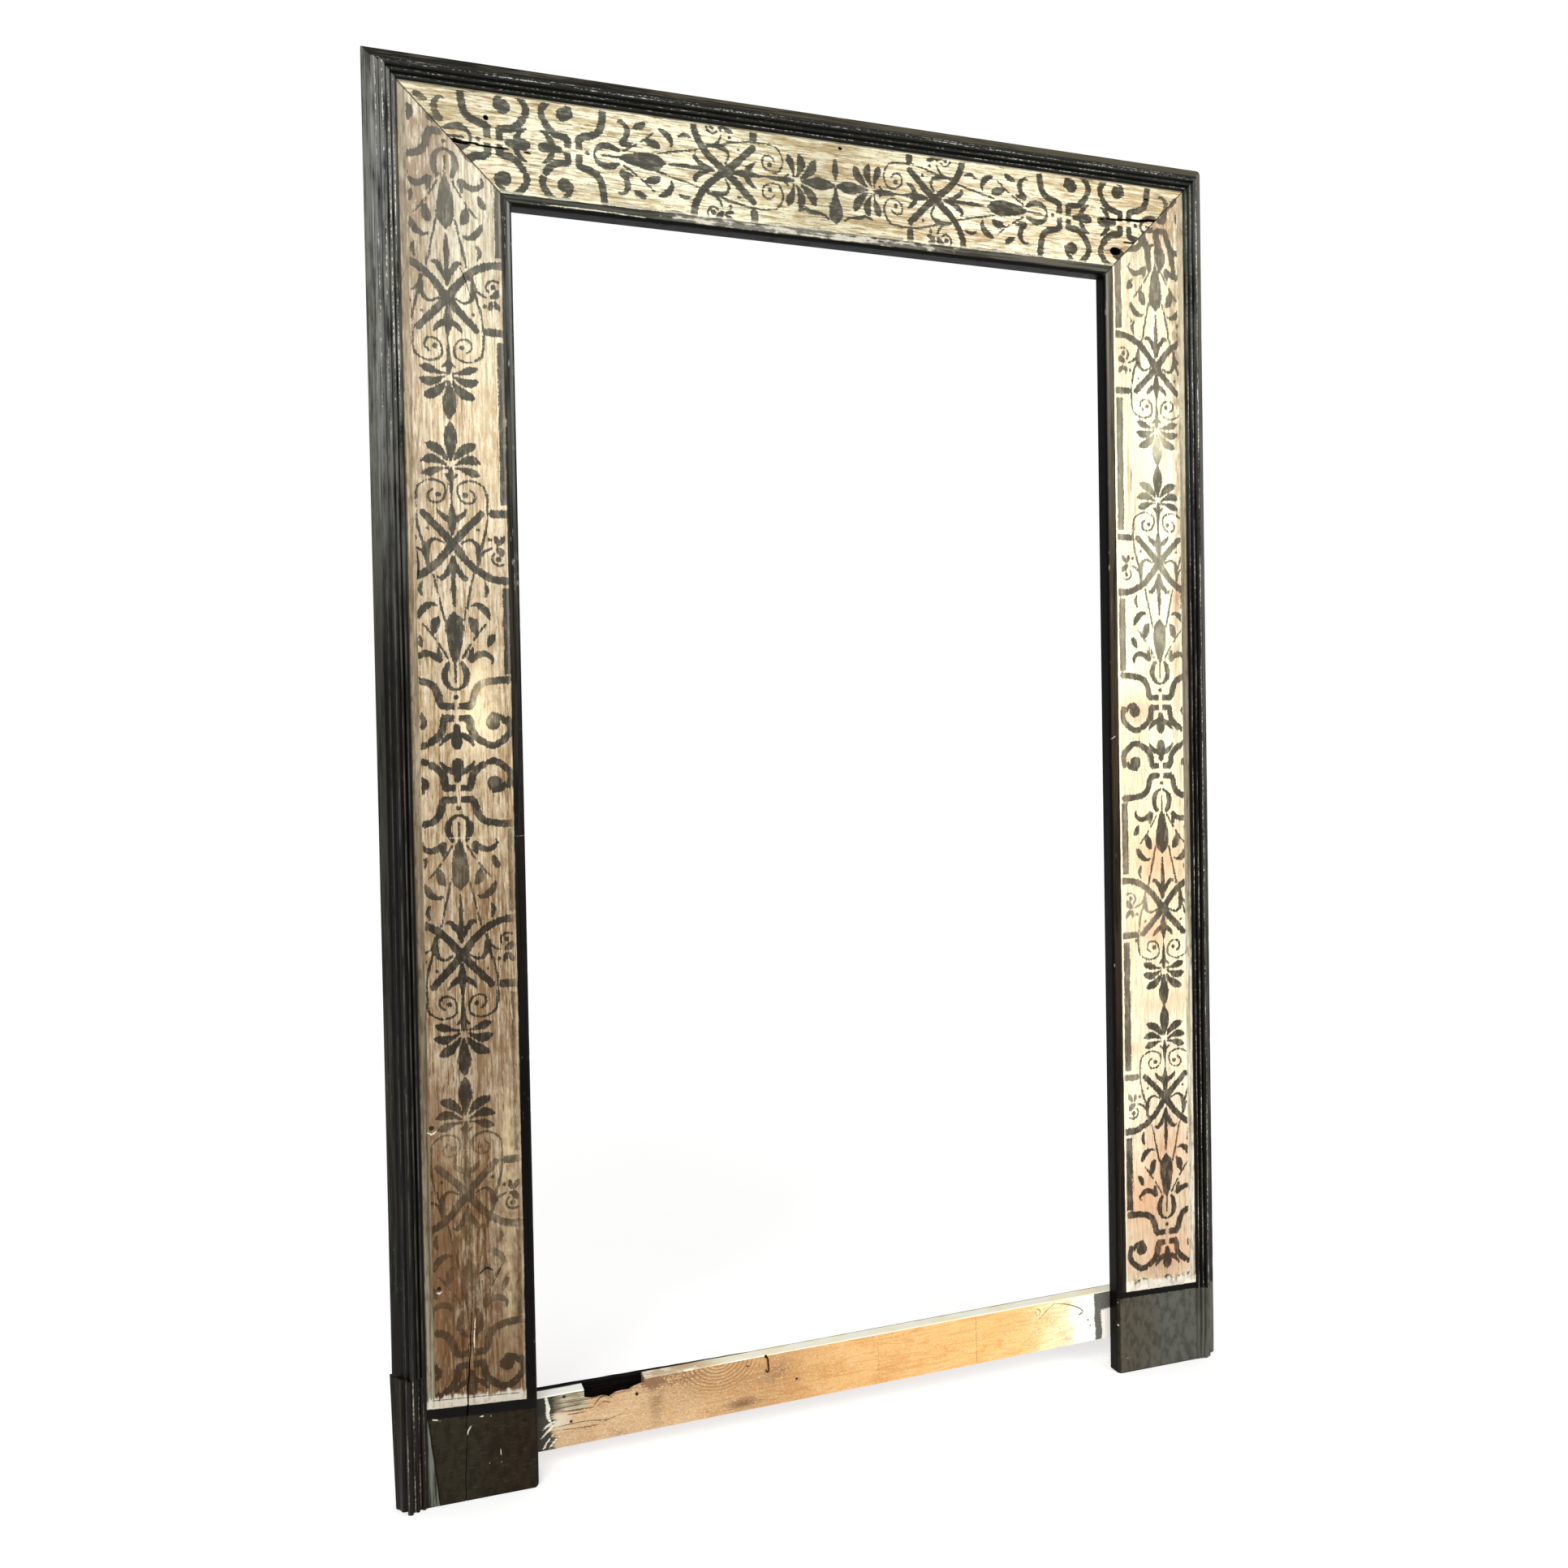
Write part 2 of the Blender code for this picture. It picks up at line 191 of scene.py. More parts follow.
class ShaderSheet:
    """The node tree of one material, with one method that adds any node."""

    def __init__(self, name: str) -> None:
        """Start a Principled material that reads Object coordinates."""
        self.material = bpy.data.materials.new(name)
        self.material.use_nodes = True
        self.tree = self.material.node_tree
        self.shader = self.tree.nodes["Principled BSDF"]
        self.coords = self.add("ShaderNodeTexCoord", output="Object")

    def add(
        self, kind: str, settings: dict | None = None, inputs: dict | None = None,
        output: int | str = 0,
    ) -> Signal:
        """Add one node.

        Args:
            kind: the node's type.
            settings: its properties, set first; "stops" fills a colour ramp.
            inputs: the values or signals of its sockets, by index or name.
            output: the output socket to hand back.

        Returns:
            The output socket, wrapped.
        """
        node = self.tree.nodes.new(kind)
        for key, value in (settings or {}).items():
            if key == "stops":
                self._set_stops(node.color_ramp, value)
            else:
                setattr(node, key, value)
        for key, value in (inputs or {}).items():
            self.feed(node.inputs[key], value)
        return Signal(self, node.outputs[output])

    @staticmethod
    def _set_stops(ramp: bpy.types.ColorRamp, row: Stops) -> None:
        """Give a colour ramp its stops, which run from left to right."""
        while len(ramp.elements) < len(row):
            ramp.elements.new(0.5)
        for element, (position, colour) in zip(ramp.elements, row):
            element.position = position
            element.color = colour

    def feed(self, socket: bpy.types.NodeSocket, value: "Signal | float | tuple") -> None:
        """Link a signal to a socket, or set the socket's own value."""
        if isinstance(value, Signal):
            self.tree.links.new(value.socket, socket)
        else:
            socket.default_value = value

    def attribute(self, name: str) -> Signal:
        """Return one of the mesh's own float attributes."""
        return self.add("ShaderNodeAttribute", {"attribute_name": name}, output="Fac")

    def noise(
        self, stretch: Place, seed: float, detail: float = 4.0, roughness: float = 0.5,
        twist: float = 0.0,
    ) -> Signal:
        """Return fractal noise from 0 to 1.

        Args:
            stretch: scales per metre along X, Y and Z.
            seed: an offset that sets one noise apart from the next.
            detail: octaves.
            roughness: how strong the finer octaves are.
            twist: distortion of the pattern.

        Returns:
            The noise, mostly between 0.3 and 0.7.
        """
        spot = self.add("ShaderNodeMapping", {}, {
            "Vector": self.coords, "Scale": stretch, "Location": (seed, 1.7 * seed, 0.6 * seed),
        })
        return self.add("ShaderNodeTexNoise", {}, {
            "Vector": spot, "Scale": 1.0, "Detail": detail, "Roughness": roughness,
            "Distortion": twist,
        })

    def ramp(self, share: Signal, row: Stops) -> Signal:
        """Return a colour from a row of stops."""
        return self.add("ShaderNodeValToRGB", {"stops": row}, {0: share})

    def wave(self, angle: Signal) -> Signal:
        """Return the sine of an angle in radians."""
        return self.add("ShaderNodeMath", {"operation": "SINE"}, {0: angle})

    def blend(
        self, share: "Signal | float", under: "Signal | Colour", over: "Signal | Colour",
        how: str = "MIX",
    ) -> Signal:
        """Return one colour laid over another by a share from 0 to 1."""
        return self.add(
            "ShaderNodeMix", {"data_type": "RGBA", "blend_type": how},
            {0: share, 6: under, 7: over}, output=2,
        )

    def coat(self, colour: "Signal | Colour", share: "Signal | float", *levels: int) -> Signal:
        """Return a colour with a swatch laid over it by a share from 0 to 1."""
        return self.blend(share, colour, swatch(*levels))

    def shade(self, colour: "Signal | Colour", *levels: int) -> Signal:
        """Return a colour darkened by a swatch."""
        return self.blend(1.0, colour, swatch(*levels), "MULTIPLY")

    def finish(
        self, colour: Signal, roughness: Signal, relief: Signal, depth: float,
        specular: float = 0.5,
    ) -> bpy.types.Material:
        """Feed the shader.

        Args:
            colour: the base colour.
            roughness: from 0 to 1.
            relief: the height that the bump follows, from 0 to about 1.
            depth: the bump's distance for a relief of 1, in metres.
            specular: the specular level, low for old dull paint.

        Returns:
            The material.
        """
        bump = self.add(
            "ShaderNodeBump", {}, {"Height": relief, "Distance": depth, "Strength": 1.0},
        )
        for name, value in (
            ("Base Color", colour), ("Roughness", roughness), ("Normal", bump),
            ("Specular IOR Level", specular),
        ):
            self.feed(self.shader.inputs[name], value)
        return self.material


@dataclass(frozen=True)
class Stroke:
    """One shape of the stencil: a path whose half width changes along it, in millimetres."""

    path: tuple[Place, ...]
    curved: bool = True
    square: bool = False
    samples: int = 6

    def spine(self) -> np.ndarray:
        """Return the path's points, rounded by a Catmull-Rom curve where it is curved."""
        path = np.array(self.path, float)
        if not self.curved or len(path) < 3:
            return path
        padded = np.vstack([2 * path[0] - path[1], path, 2 * path[-1] - path[-2]])
        steps = np.linspace(0, 1, self.samples, endpoint=False)[:, None]
        runs = []
        for before, start, end, after in zip(padded, padded[1:], padded[2:], padded[3:]):
            runs.append(0.5 * (
                2 * start + (end - before) * steps
                + (2 * before - 5 * start + 4 * end - after) * steps ** 2
                + (3 * start - before - 3 * end + after) * steps ** 3
            ))
        return np.vstack([*runs, path[-1:]])

    def depth(self, along: np.ndarray, across: np.ndarray) -> np.ndarray:
        """Return how deep each point lies inside the shape, negative outside it.

        Args:
            along: the points' places along the pattern.
            across: their places across it.

        Returns:
            Signed distances, cut off at the stencil's reach.
        """
        spine = self.spine()
        result = np.full(along.shape, -STENCIL_REACH)
        margin = STENCIL_REACH + spine[:, 2].max()
        near = (
            (along > spine[:, 0].min() - margin) & (along < spine[:, 0].max() + margin)
            & (across > spine[:, 1].min() - margin) & (across < spine[:, 1].max() + margin)
        )
        if not near.any():
            return result
        x, y = along[near], across[near]
        best = np.full(x.shape, -STENCIL_REACH)
        for index in range(max(1, len(spine) - 1)):
            start = spine[index]
            end = spine[min(index + 1, len(spine) - 1)]
            run = end[:2] - start[:2]
            length = max(float(run @ run), 1e-9)
            raw = ((x - start[0]) * run[0] + (y - start[1]) * run[1]) / length
            share = np.clip(raw, 0, 1)
            gap = np.hypot(x - start[0] - share * run[0], y - start[1] - share * run[1])
            inside = start[2] + share * (end[2] - start[2]) - gap
            if self.square and index == 0:
                inside = np.minimum(inside, raw * math.sqrt(length))
            if self.square and index == len(spine) - 2:
                inside = np.minimum(inside, (1 - raw) * math.sqrt(length))
            best = np.maximum(best, inside)
        result[near] = best
        return result


def band(*path: Point, half: float = 5.0, square: bool = True) -> Stroke:
    """Return a strap of even width along a curved path."""
    return Stroke(tuple((x, y, half) for x, y in path), square=square)


def dot(along: float, across: float, radius: float) -> Stroke:
    """Return a round spot."""
    return Stroke(((along, across, radius),), curved=False)


def drawn(*shapes: "Stroke | tuple[Place, ...]") -> tuple[Stroke, ...]:
    """Return strokes, each given ready or as the path of a curved one."""
    return tuple(shape if isinstance(shape, Stroke) else Stroke(shape) for shape in shapes)


def moved(strokes: Iterable[Stroke], origin: float) -> list[Stroke]:
    """Return strokes moved along the pattern to their origin."""
    return [
        replace(stroke, path=tuple((origin + x, y, half) for x, y, half in stroke.path))
        for stroke in strokes
    ]


def stroke_depth(strokes: Iterable[Stroke], along: np.ndarray, across: np.ndarray) -> np.ndarray:
    """Return how deep each point lies inside the nearest of several shapes."""
    result = np.full(along.shape, -STENCIL_REACH)
    for stroke in strokes:
        result = np.maximum(result, stroke.depth(along, across))
    return result


@dataclass(frozen=True)
class Strapwork:
    """The repeat of the stencil, from its first axis at 0 to its second axis at 523.

    Places are (along, across, half width) in millimetres, on one side of the centreline.
    The other side, and the repeat beyond each axis, mirror it.
    """

    strap_half: float
    band_half: float
    strap_centre: float = 65.0
    crossing: float = 328.0

    def fleur(self) -> tuple[Stroke, ...]:
        """Return the small lily at the first axis: its body and its wing."""
        return drawn(
            ((9, 0, 2.5), (16, 0, 8.5), (25, 0, 8), (36, 0, 6), (42, 0, 5)),
            ((30, 6, 4.0), (27, 13, 4.6), (22, 20, 3.8), (13, 26, 1.4)),
        )

    def strap_unit(self) -> tuple[Stroke, ...]:
        """Return the knot of straps round its white cross, with the curl and its ball."""
        half = self.strap_half
        return drawn(
            Stroke(((9.5, 4, half - 0.6), (9.5, 24, half)), curved=False, square=True),
            Stroke(((-9.5, 4, half - 0.6), (-9.5, 22, half)), curved=False, square=True),
            band((9.5, 20), (15, 25), (33, 30), (45, 41), (50, 64), (51, 86), half=half),
            band((-9.5, 19), (-17, 21), (-29, 23), (-40, 31), (-48, 42), half=half),
            band((-51, 47), (-52, 60), (-40, 77), (-27, 84), (-9, 80), half=half - 0.4),
            dot(-16, 57, 11.5),
            ((-5, 57, 5.0), (-8, 70, 4.0), (-16, 74, 2.0)),
            dot(23.5, 0, 3.4),
        )

    def calyx(self) -> tuple[Stroke, ...]:
        """Return the cup of the tulip, its thin stem and the S-shaped leaf beside it."""
        return drawn(
            ((100, 0, 1.4), (103, 8, 2.4), (110, 14, 4.2), (121, 17, 5.2), (132, 15, 4.6),
                    (141, 11, 3.2)),
            Stroke(((112, 0, 1.2), (128, 0, 1.4), (146, 0, 1.5)), curved=False),
            ((148, 25, 5.2), (154, 34, 4.6), (157, 44, 4.8), (154, 53, 3.8),
                    (147, 59, 2.4), (141, 57, 1.3)),
            ((149, 25, 4.8), (157, 25, 3.6), (165, 27, 1.3)),
        )

    def tulip(self) -> tuple[Stroke, ...]:
        """Return the tulip's bud and the sprays beside it."""
        return drawn(
            ((144, 0, 2.5), (152, 0, 6), (164, 0, 9.5), (180, 0, 12.5), (196, 0, 14),
                    (206, 0, 12), (213, 0, 7), (222, 0, 1.6)),
            Stroke(((150, 12, 1.4), (161, 18, 1.5), (172, 25, 1.4)), curved=False),
            Stroke(((179, 30, 1.4), (190, 38, 1.5), (202, 48, 1.3)), curved=False),
            ((168, 52, 1.4), (175, 55, 4.6), (182, 58, 5.0), (186, 62, 1.4)),
            ((187, 34, 1.6), (197, 31, 6.0), (206, 29, 6.4), (213, 24, 1.4)),
            ((212, 55, 1.6), (220, 52, 4.6), (229, 45, 5.4), (234, 35, 3.2), (232, 27, 1.3)),
            ((246, 48, 1.4), (256, 52, 3.4), (268, 49, 1.3)),
            ((209, 15, 1.3), (244, 23, 1.4), (280, 31, 1.3)),
            ((230, 0, 1.2), (246, 0, 2.6), (258, 0, 3.8), (274, 0, 2.0)),
        )

    def anchor(self) -> tuple[Stroke, ...]:
        """Return the spike and the curled barbs that point away from the crossing."""
        return drawn(
            ((-20, 0, 2.5), (-28, 1.5, 3.4), (-38, 6, 3.6),
                    (-48, 12, 4.2), (-54, 18, 3.2), (-52, 23, 1.4)),
            ((-24, 0, 2.6), (-40, 0, 3.6), (-58, 0, 3.2), (-76, 0, 2.2), (-92, 0, 1.2)),
        )

    def straps(self) -> tuple[Stroke, ...]:
        """Return the crossing straps and the flower and curls beside them."""
        half = self.strap_half
        return drawn(
            Stroke(tuple((x, y, half + more) for x, y, more in (
                (0, 0, 1.4), (-12, 10, 0.6), (-27, 22, 0), (-41, 38, 0), (-50, 54, 0),
                (-55, 70, 0), (-56, 90, 0.8),
            )), square=True),
            Stroke(((0, 0, half + 1.4), (13, 11, half + 0.6), (28, 25, half),
                    (40, 37, half), (51, 47, half - 0.6)), square=True),
            band((50, 61), (50, 72), (51, 90), half=half + 0.4),
            ((1, 13, 1.4), (7, 26, 2.0), (2, 36, 3.0), (-11, 40, 4.4), (-23, 39, 2.2)),
            ((-31, 39, 2.6), (-18, 43, 2.4), (-10, 50, 1.9), (-5, 61, 1.3)),
            Stroke(tuple((x, y, 1.5) for x, y in (
                (-13, 65), (-20, 61), (-28, 64), (-32, 72), (-30, 80),
            ))),
            dot(-22, 71.5, 4.0),
            ((-6, 70, 3.0), (-10, 76, 5.4), (-16, 79, 2.0)),
            dot(9, 58, 3.0),
            ((1, 70, 1.5), (8, 68, 3.6), (14, 67, 1.6)),
            ((1, 74, 1.5), (8, 78, 4.0), (14, 81, 1.6)),
            dot(24, 40, 2.4),
        )

    def fleuron(self) -> tuple[Stroke, ...]:
        """Return the fleuron past the crossing, with its barbs, and the two spirals."""
        return drawn(
            ((16, 0, 3.0), (28, 0, 5.6), (40, 0, 6.6), (50, 0, 4.2), (63, 0, 1.5)),
            ((37, 3, 4.0), (41, 10, 4.4), (47, 17, 3.4), (54, 22, 1.3)),
            Stroke(((62, 0, 1.3), (76, 0, 1.3), (92, 0, 1.6)), curved=False),
            dot(78, 21, 3.9),
            ((-11, 42, 1.9), (0, 46, 1.8), (21, 52, 1.6), (40, 55, 1.4), (62, 56, 1.4)),
            Stroke(tuple((x, y, 1.45) for x, y in (
                (62, 56), (78, 55), (92, 50), (101, 31), (95, 13), (82, 9.5), (69, 15), (65, 25),
                (68, 34), (79, 36), (86, 29),
            ))),
        )

    def palmette(self) -> tuple[Stroke, ...]:
        """Return the palmette before the second axis: its arrow, leaves and bud."""
        return drawn(
            ((404, 0, 1.4), (421, 0, 3.4), (436, 0, 4.4), (448, 0, 2.2)),
            ((433, 4, 2.4), (438, 9, 1.6)),
            ((448, 6, 1.3), (447, 16, 2.2), (444, 26, 5.4), (441, 34, 6.4), (438, 43, 1.6)),
            ((453, 7, 1.3), (458, 16, 3.4), (462, 28, 6.8), (461, 36, 6.2), (458, 45, 1.4)),
            ((461, 6, 1.3), (470, 12, 4.6), (479, 22, 7.6), (483, 31, 6.4), (486, 38, 1.8)),
            ((461, 0, 1.5), (478, 0, 6.5), (495, 0, 10.5), (508, 0, 7.5), (521, 0, 1.5)),
        )

    def frame_band(self) -> tuple[Stroke, ...]:
        """Return the two lengths of frame band along the doorway side of the field."""
        return drawn(
            Stroke(((125, 82, self.band_half), (260, 82, self.band_half)), False, True),
            Stroke(((393, 82, self.band_half), (531, 82, self.band_half)), False, True),
        )

    def strokes(self) -> list[Stroke]:
        """Return every shape that both sides of the centreline share."""
        return [
            *self.fleur(), *moved(self.strap_unit(), self.strap_centre), *self.calyx(),
            *self.tulip(), *moved(self.anchor(), self.crossing),
            *moved(self.straps(), self.crossing), *moved(self.fleuron(), self.crossing),
            *self.palmette(),
        ]


@dataclass(frozen=True)
class Registration:
    """Where the stencil's axes fall on one board, in millimetres."""

    centreline: float
    axes: tuple[Point, ...]
    field_from: float
    field_to: float
    strap_half: float = 5.0
    band_half: float = 4.3
    extras: tuple[Stroke, ...] = ()

    def depth(self, along: np.ndarray, across: np.ndarray) -> np.ndarray:
        """Return how deep each point of the board lies inside the stencilled shapes."""
        marks = np.array(self.axes, float)
        pattern_along = np.interp(along, marks[:, 0], marks[:, 1])
        offset = across - self.centreline
        folded = np.abs(offset)
        strapwork = Strapwork(self.strap_half, self.band_half)
        result = stroke_depth(strapwork.strokes(), pattern_along, folded)
        result = np.maximum(result, stroke_depth(strapwork.frame_band(), pattern_along, -offset))
        result = np.maximum(result, stroke_depth(self.extras, along, offset))
        edge = np.minimum(across - self.field_from, self.field_to - across)
        return np.clip(np.minimum(result, edge), -STENCIL_REACH, STENCIL_REACH)


@dataclass(frozen=True)
class Patch:
    """A soft oval area of wear or stain, in millimetres."""

    along: float
    across: float
    half_along: float
    half_across: float
    strength: float = 1.0

    def weight(self, along: np.ndarray, across: np.ndarray) -> np.ndarray:
        """Return the patch's strength at each point."""
        reach = ((along - self.along) / self.half_along) ** 2
        reach = reach + ((across - self.across) / self.half_across) ** 2
        return self.strength * np.exp(-reach)


def patches(*rows: tuple[float, ...]) -> tuple[Patch, ...]:
    """Return patches from rows of place, half sizes and strength."""
    return tuple(Patch(*row) for row in rows)


def patch_sum(areas: Iterable[Patch], along: np.ndarray, across: np.ndarray) -> np.ndarray:
    """Return the summed strength of several patches at each point."""
    total = np.zeros(along.shape)
    for patch in areas:
        total += patch.weight(along, across)
    return total


@dataclass(frozen=True)
class Split:
    """A split in a board's face, from its open mouth to its closed tip, in millimetres."""

    mouth: Point
    tip: Point
    half_width: float
    depth: float
    waviness: float = 0.8

    def cut(self, along: np.ndarray, across: np.ndarray) -> np.ndarray:
        """Return how deep the split is at each point, in millimetres."""
        run = np.array(self.tip) - np.array(self.mouth)
        length = float(np.hypot(*run))
        unit = run / length
        forward = (along - self.mouth[0]) * unit[0] + (across - self.mouth[1]) * unit[1]
        sideways = (across - self.mouth[1]) * unit[0] - (along - self.mouth[0]) * unit[1]
        sideways = sideways + self.waviness * np.sin(forward / 9.0) * np.sin(forward / 23.0)
        share = np.clip(forward / length, 0, 1)
        half = self.half_width * (1 - share ** 1.6) + 0.25
        inside = np.clip(1 - np.abs(sideways) / half, 0, 1)
        open_here = (forward > -3) & (forward < length)
        return np.where(open_here, self.depth * np.sqrt(inside), 0.0)

    def near(self, along: float, across: float, margin: float) -> bool:
        """Tell whether a place is within a margin of the split's line."""
        start, end, spot = Vector(self.mouth), Vector(self.tip), Vector((along, across))
        run = end - start
        share = min(max((spot - start).dot(run) / run.length_squared, 0.0), 1.0)
        return (spot - start - run * share).length < margin


@dataclass(frozen=True)
class Knot:
    """An oval hole that a knot fell out of, in millimetres."""

    along: float
    across: float
    half_along: float
    half_across: float
    depth: float

    def cut(self, along: np.ndarray, across: np.ndarray) -> np.ndarray:
        """Return how deep the hole is at each point, in millimetres."""
        reach = np.hypot(
            (along - self.along) / self.half_along, (across - self.across) / self.half_across
        )
        return self.depth * np.clip((1.06 - reach) / 0.22, 0, 1) ** 0.6

    def near(self, along: float, across: float, margin: float) -> bool:
        """Tell whether a place is within a margin of the hole's rim."""
        return math.hypot(along - self.along, across - self.across) < self.half_along + margin


@dataclass(frozen=True)
class BoardFinish:
    """Colours of one painted board; the stops run along it from its start."""

    slot: str
    grain: Grain
    ground: Stops
    stencil: Stops
    border: Stops
    stain: Colour
    grime: Colour
    fibre: Colour
    coverage: float
    grime_low: float
    grime_high: float
    length: float = 2257.0
    start: float = 0.0
    outer_strip: Stops = ()
    strip_width: float = 0.0
    plinth: Colour | None = None
    plinth_outer: Colour | None = None
    plinth_edge: Colour | None = None
    primer: float = 0.35
    # How much the painted arris highlight grows along the board.
    arris_highlight_rise: float = 0.3
    arris_black: float = 4.0
    foot_tilt: float = 0.0
    foot_levels: Place = (138.0, 152.0, 168.0)
    foot_pale: float = 0.8

    def dress(self) -> bpy.types.Material:
        """Build the board's material.

        Returns:
            A material that reads the attributes that the board's mesh carries.
        """
        sheet = ShaderSheet(self.slot)
        along = sheet.attribute("along")
        across = sheet.attribute("across")
        share = (along - self.start) / self.length
        grain_fine = sheet.noise(self.grain.stretch(820, 15), 3.1, 3, 0.6)
        grain_wide = sheet.noise(self.grain.stretch(170, 6), 7.3, 5, 0.62)
        mottle = sheet.noise(self.grain.stretch(80, 40), 1.9, 8, 0.62)
        cloud = sheet.noise(self.grain.stretch(14, 4), 5.2, 5, 0.55)
        fleck = sheet.noise(self.grain.stretch(560, 300), 9.4, 3, 0.6)
        bristle = sheet.noise(self.grain.stretch(310, 36), 4.4, 5, 0.66)

        colour = self._ground(sheet, share, grain_fine, grain_wide, mottle, cloud, fleck, bristle)
        colour = self._stencilled(sheet, colour, share, grain_fine, mottle, fleck, bristle)
        colour = self._outer_strip(sheet, colour, across, share, grain_wide, mottle, bristle)
        colour, black = self._border(sheet, colour, across, share, grain_wide, mottle)
        if self.plinth:
            colour, black = self._foot(sheet, colour, black, along, across, grain_wide, mottle)
        colour = self._marked(sheet, colour, fleck, bristle)
        colour = self._mitre_line(sheet, colour, mottle)
        side = sheet.attribute("side")
        bare = self._bare_back(sheet, grain_fine, grain_wide, mottle)
        reveal = sheet.blend(mottle.rise(0.5, 0.72), swatch(3, 3, 2), swatch(12, 10, 8))
        colour = sheet.blend(side.rise(0.4, 0.6), colour, reveal)
        colour = sheet.blend(side.rise(1.4, 1.6), colour, bare)
        # Painted shade in the splits and knot holes: near black, over their darker wood.
        gash = sheet.attribute("gash")
        colour = sheet.coat(colour, gash.rise(0.15, 0.8), 16, 12, 9)

        dull = 0.62 + mottle.swing(0.35) - black * 0.24 + side.rise(1.4, 1.6) * 0.25
        relief = grain_wide * 0.4 + grain_fine * 0.4 + fleck * 0.3 + bristle * 0.5
        return sheet.finish(colour, dull, relief, 0.0009, 0.06)

    def _ground(
        self, sheet: ShaderSheet, share: Signal, grain_fine: Signal, grain_wide: Signal,
        mottle: Signal, cloud: Signal, fleck: Signal, bristle: Signal,
    ) -> Signal:
        """Return the aged ground paint with its grain lines, flecks, stains, grime, pale wear and
        painted sheen.
        """
        grime = self.grime_low + (self.grime_high - self.grime_low) * share
        base = sheet.ramp(share, self.ground)
        dark = sheet.shade(base, 194, 168, 134)
        deep = sheet.shade(base, 158, 132, 98)
        light = sheet.coat(base, 0.22 + 0.36 * share, 255, 248, 222)
        tone = grain_wide * 0.4 + mottle * 0.35 + cloud * 0.25
        colour = sheet.blend(tone.fall(0.43, 0.52) * grime * 0.8, base, dark)
        colour = sheet.blend(tone.rise(0.50, 0.60) * 0.6, colour, light)
        colour = sheet.blend((bristle + mottle * 0.3).rise(0.66, 0.80) * grime * 0.85, colour, deep)
        colour = sheet.blend((bristle + cloud * 0.2).fall(0.44, 0.55) * 0.55, colour, light)
        fibres = grain_fine.rise(0.53, 0.66) * (grain_wide + cloud).fall(0.9, 1.12)
        colour = sheet.blend(fibres * grime * 0.75, colour, self.fibre)
        scratches = sheet.noise(self.grain.stretch(420, 11), 11.7, 2, 0.5).rise(0.62, 0.70)
        colour = sheet.blend(scratches * grime * 0.7, colour, self.fibre)
        dark_flecks = fleck.rise(0.60, 0.68) * mottle.rise(0.44, 0.60)
        colour = sheet.blend(dark_flecks * grime * 0.8, colour, self.fibre)
        # Painted sheen mixed with pale wear: the ground turns pale cream where these patches lie.
        glare = sheet.attribute("bleach") * (mottle * 0.5 + bristle * 0.5).rise(0.34, 0.60)
        colour = sheet.coat(colour, glare.at_most(0.7), 246, 226, 184)
        stain = sheet.attribute("stain") * (0.25 + 1.5 * (mottle - 0.18)) * (0.4 + 1.2 * grain_wide)
        colour = sheet.blend(stain.at_most(0.9), colour, self.stain)
        dirt = sheet.attribute("grime") * (mottle * 0.5 + bristle * 0.5).rise(0.34, 0.58)
        return sheet.blend(dirt.at_most(0.85), colour, self.grime)

    def _stencilled(
        self, sheet: ShaderSheet, colour: Signal, share: Signal, grain_fine: Signal,
        mottle: Signal, fleck: Signal, bristle: Signal,
    ) -> Signal:
        """Return the colour with the worn stencilled pattern over it."""
        depth = sheet.attribute("stencil")
        ragged = fleck.swing(5.0) + grain_fine.swing(2.4) + mottle.swing(3.0)
        ragged = ragged + bristle.swing(6.5)
        shape = (depth + ragged).rise(-0.9, -0.1)
        worn = mottle * 0.35 + bristle * 0.4 + grain_fine * 0.1 + fleck * 0.15
        fade = sheet.attribute("fade").at_most(1.0)
        worn = worn + fade * 0.12
        kept = worn.fall(self.coverage, self.coverage + 0.07)
        paint = sheet.ramp(share, self.stencil)
        thin = sheet.blend(0.3, paint, colour)
        paint = sheet.blend(mottle.rise(0.48, 0.62) * 0.5, paint, thin)
        streaky = sheet.shade(paint, 176, 178, 176)
        paint = sheet.blend(bristle.rise(0.50, 0.62) * 0.4, paint, streaky)
        paint = sheet.coat(paint, grain_fine.fall(0.36, 0.5) * 0.3, 46, 46, 43)
        return sheet.blend(shape * (0.18 + 0.79 * kept) * (1.0 - 0.66 * fade), colour, paint)

    def _marked(
        self, sheet: ShaderSheet, colour: Signal, fleck: Signal, bristle: Signal,
    ) -> Signal:
        """Return the colour with this board's own scars and pale scratches."""
        ragged = fleck.swing(1.6) + bristle.swing(1.8)
        scar = (sheet.attribute("scar") + ragged).rise(-0.4, 0.4)
        colour = sheet.coat(colour, scar * 0.88, 14, 10, 6)
        scratch = (sheet.attribute("scratch") + ragged * 1.3).rise(-0.4, 0.4)
        return sheet.coat(colour, scratch * 0.7, 226, 218, 196)

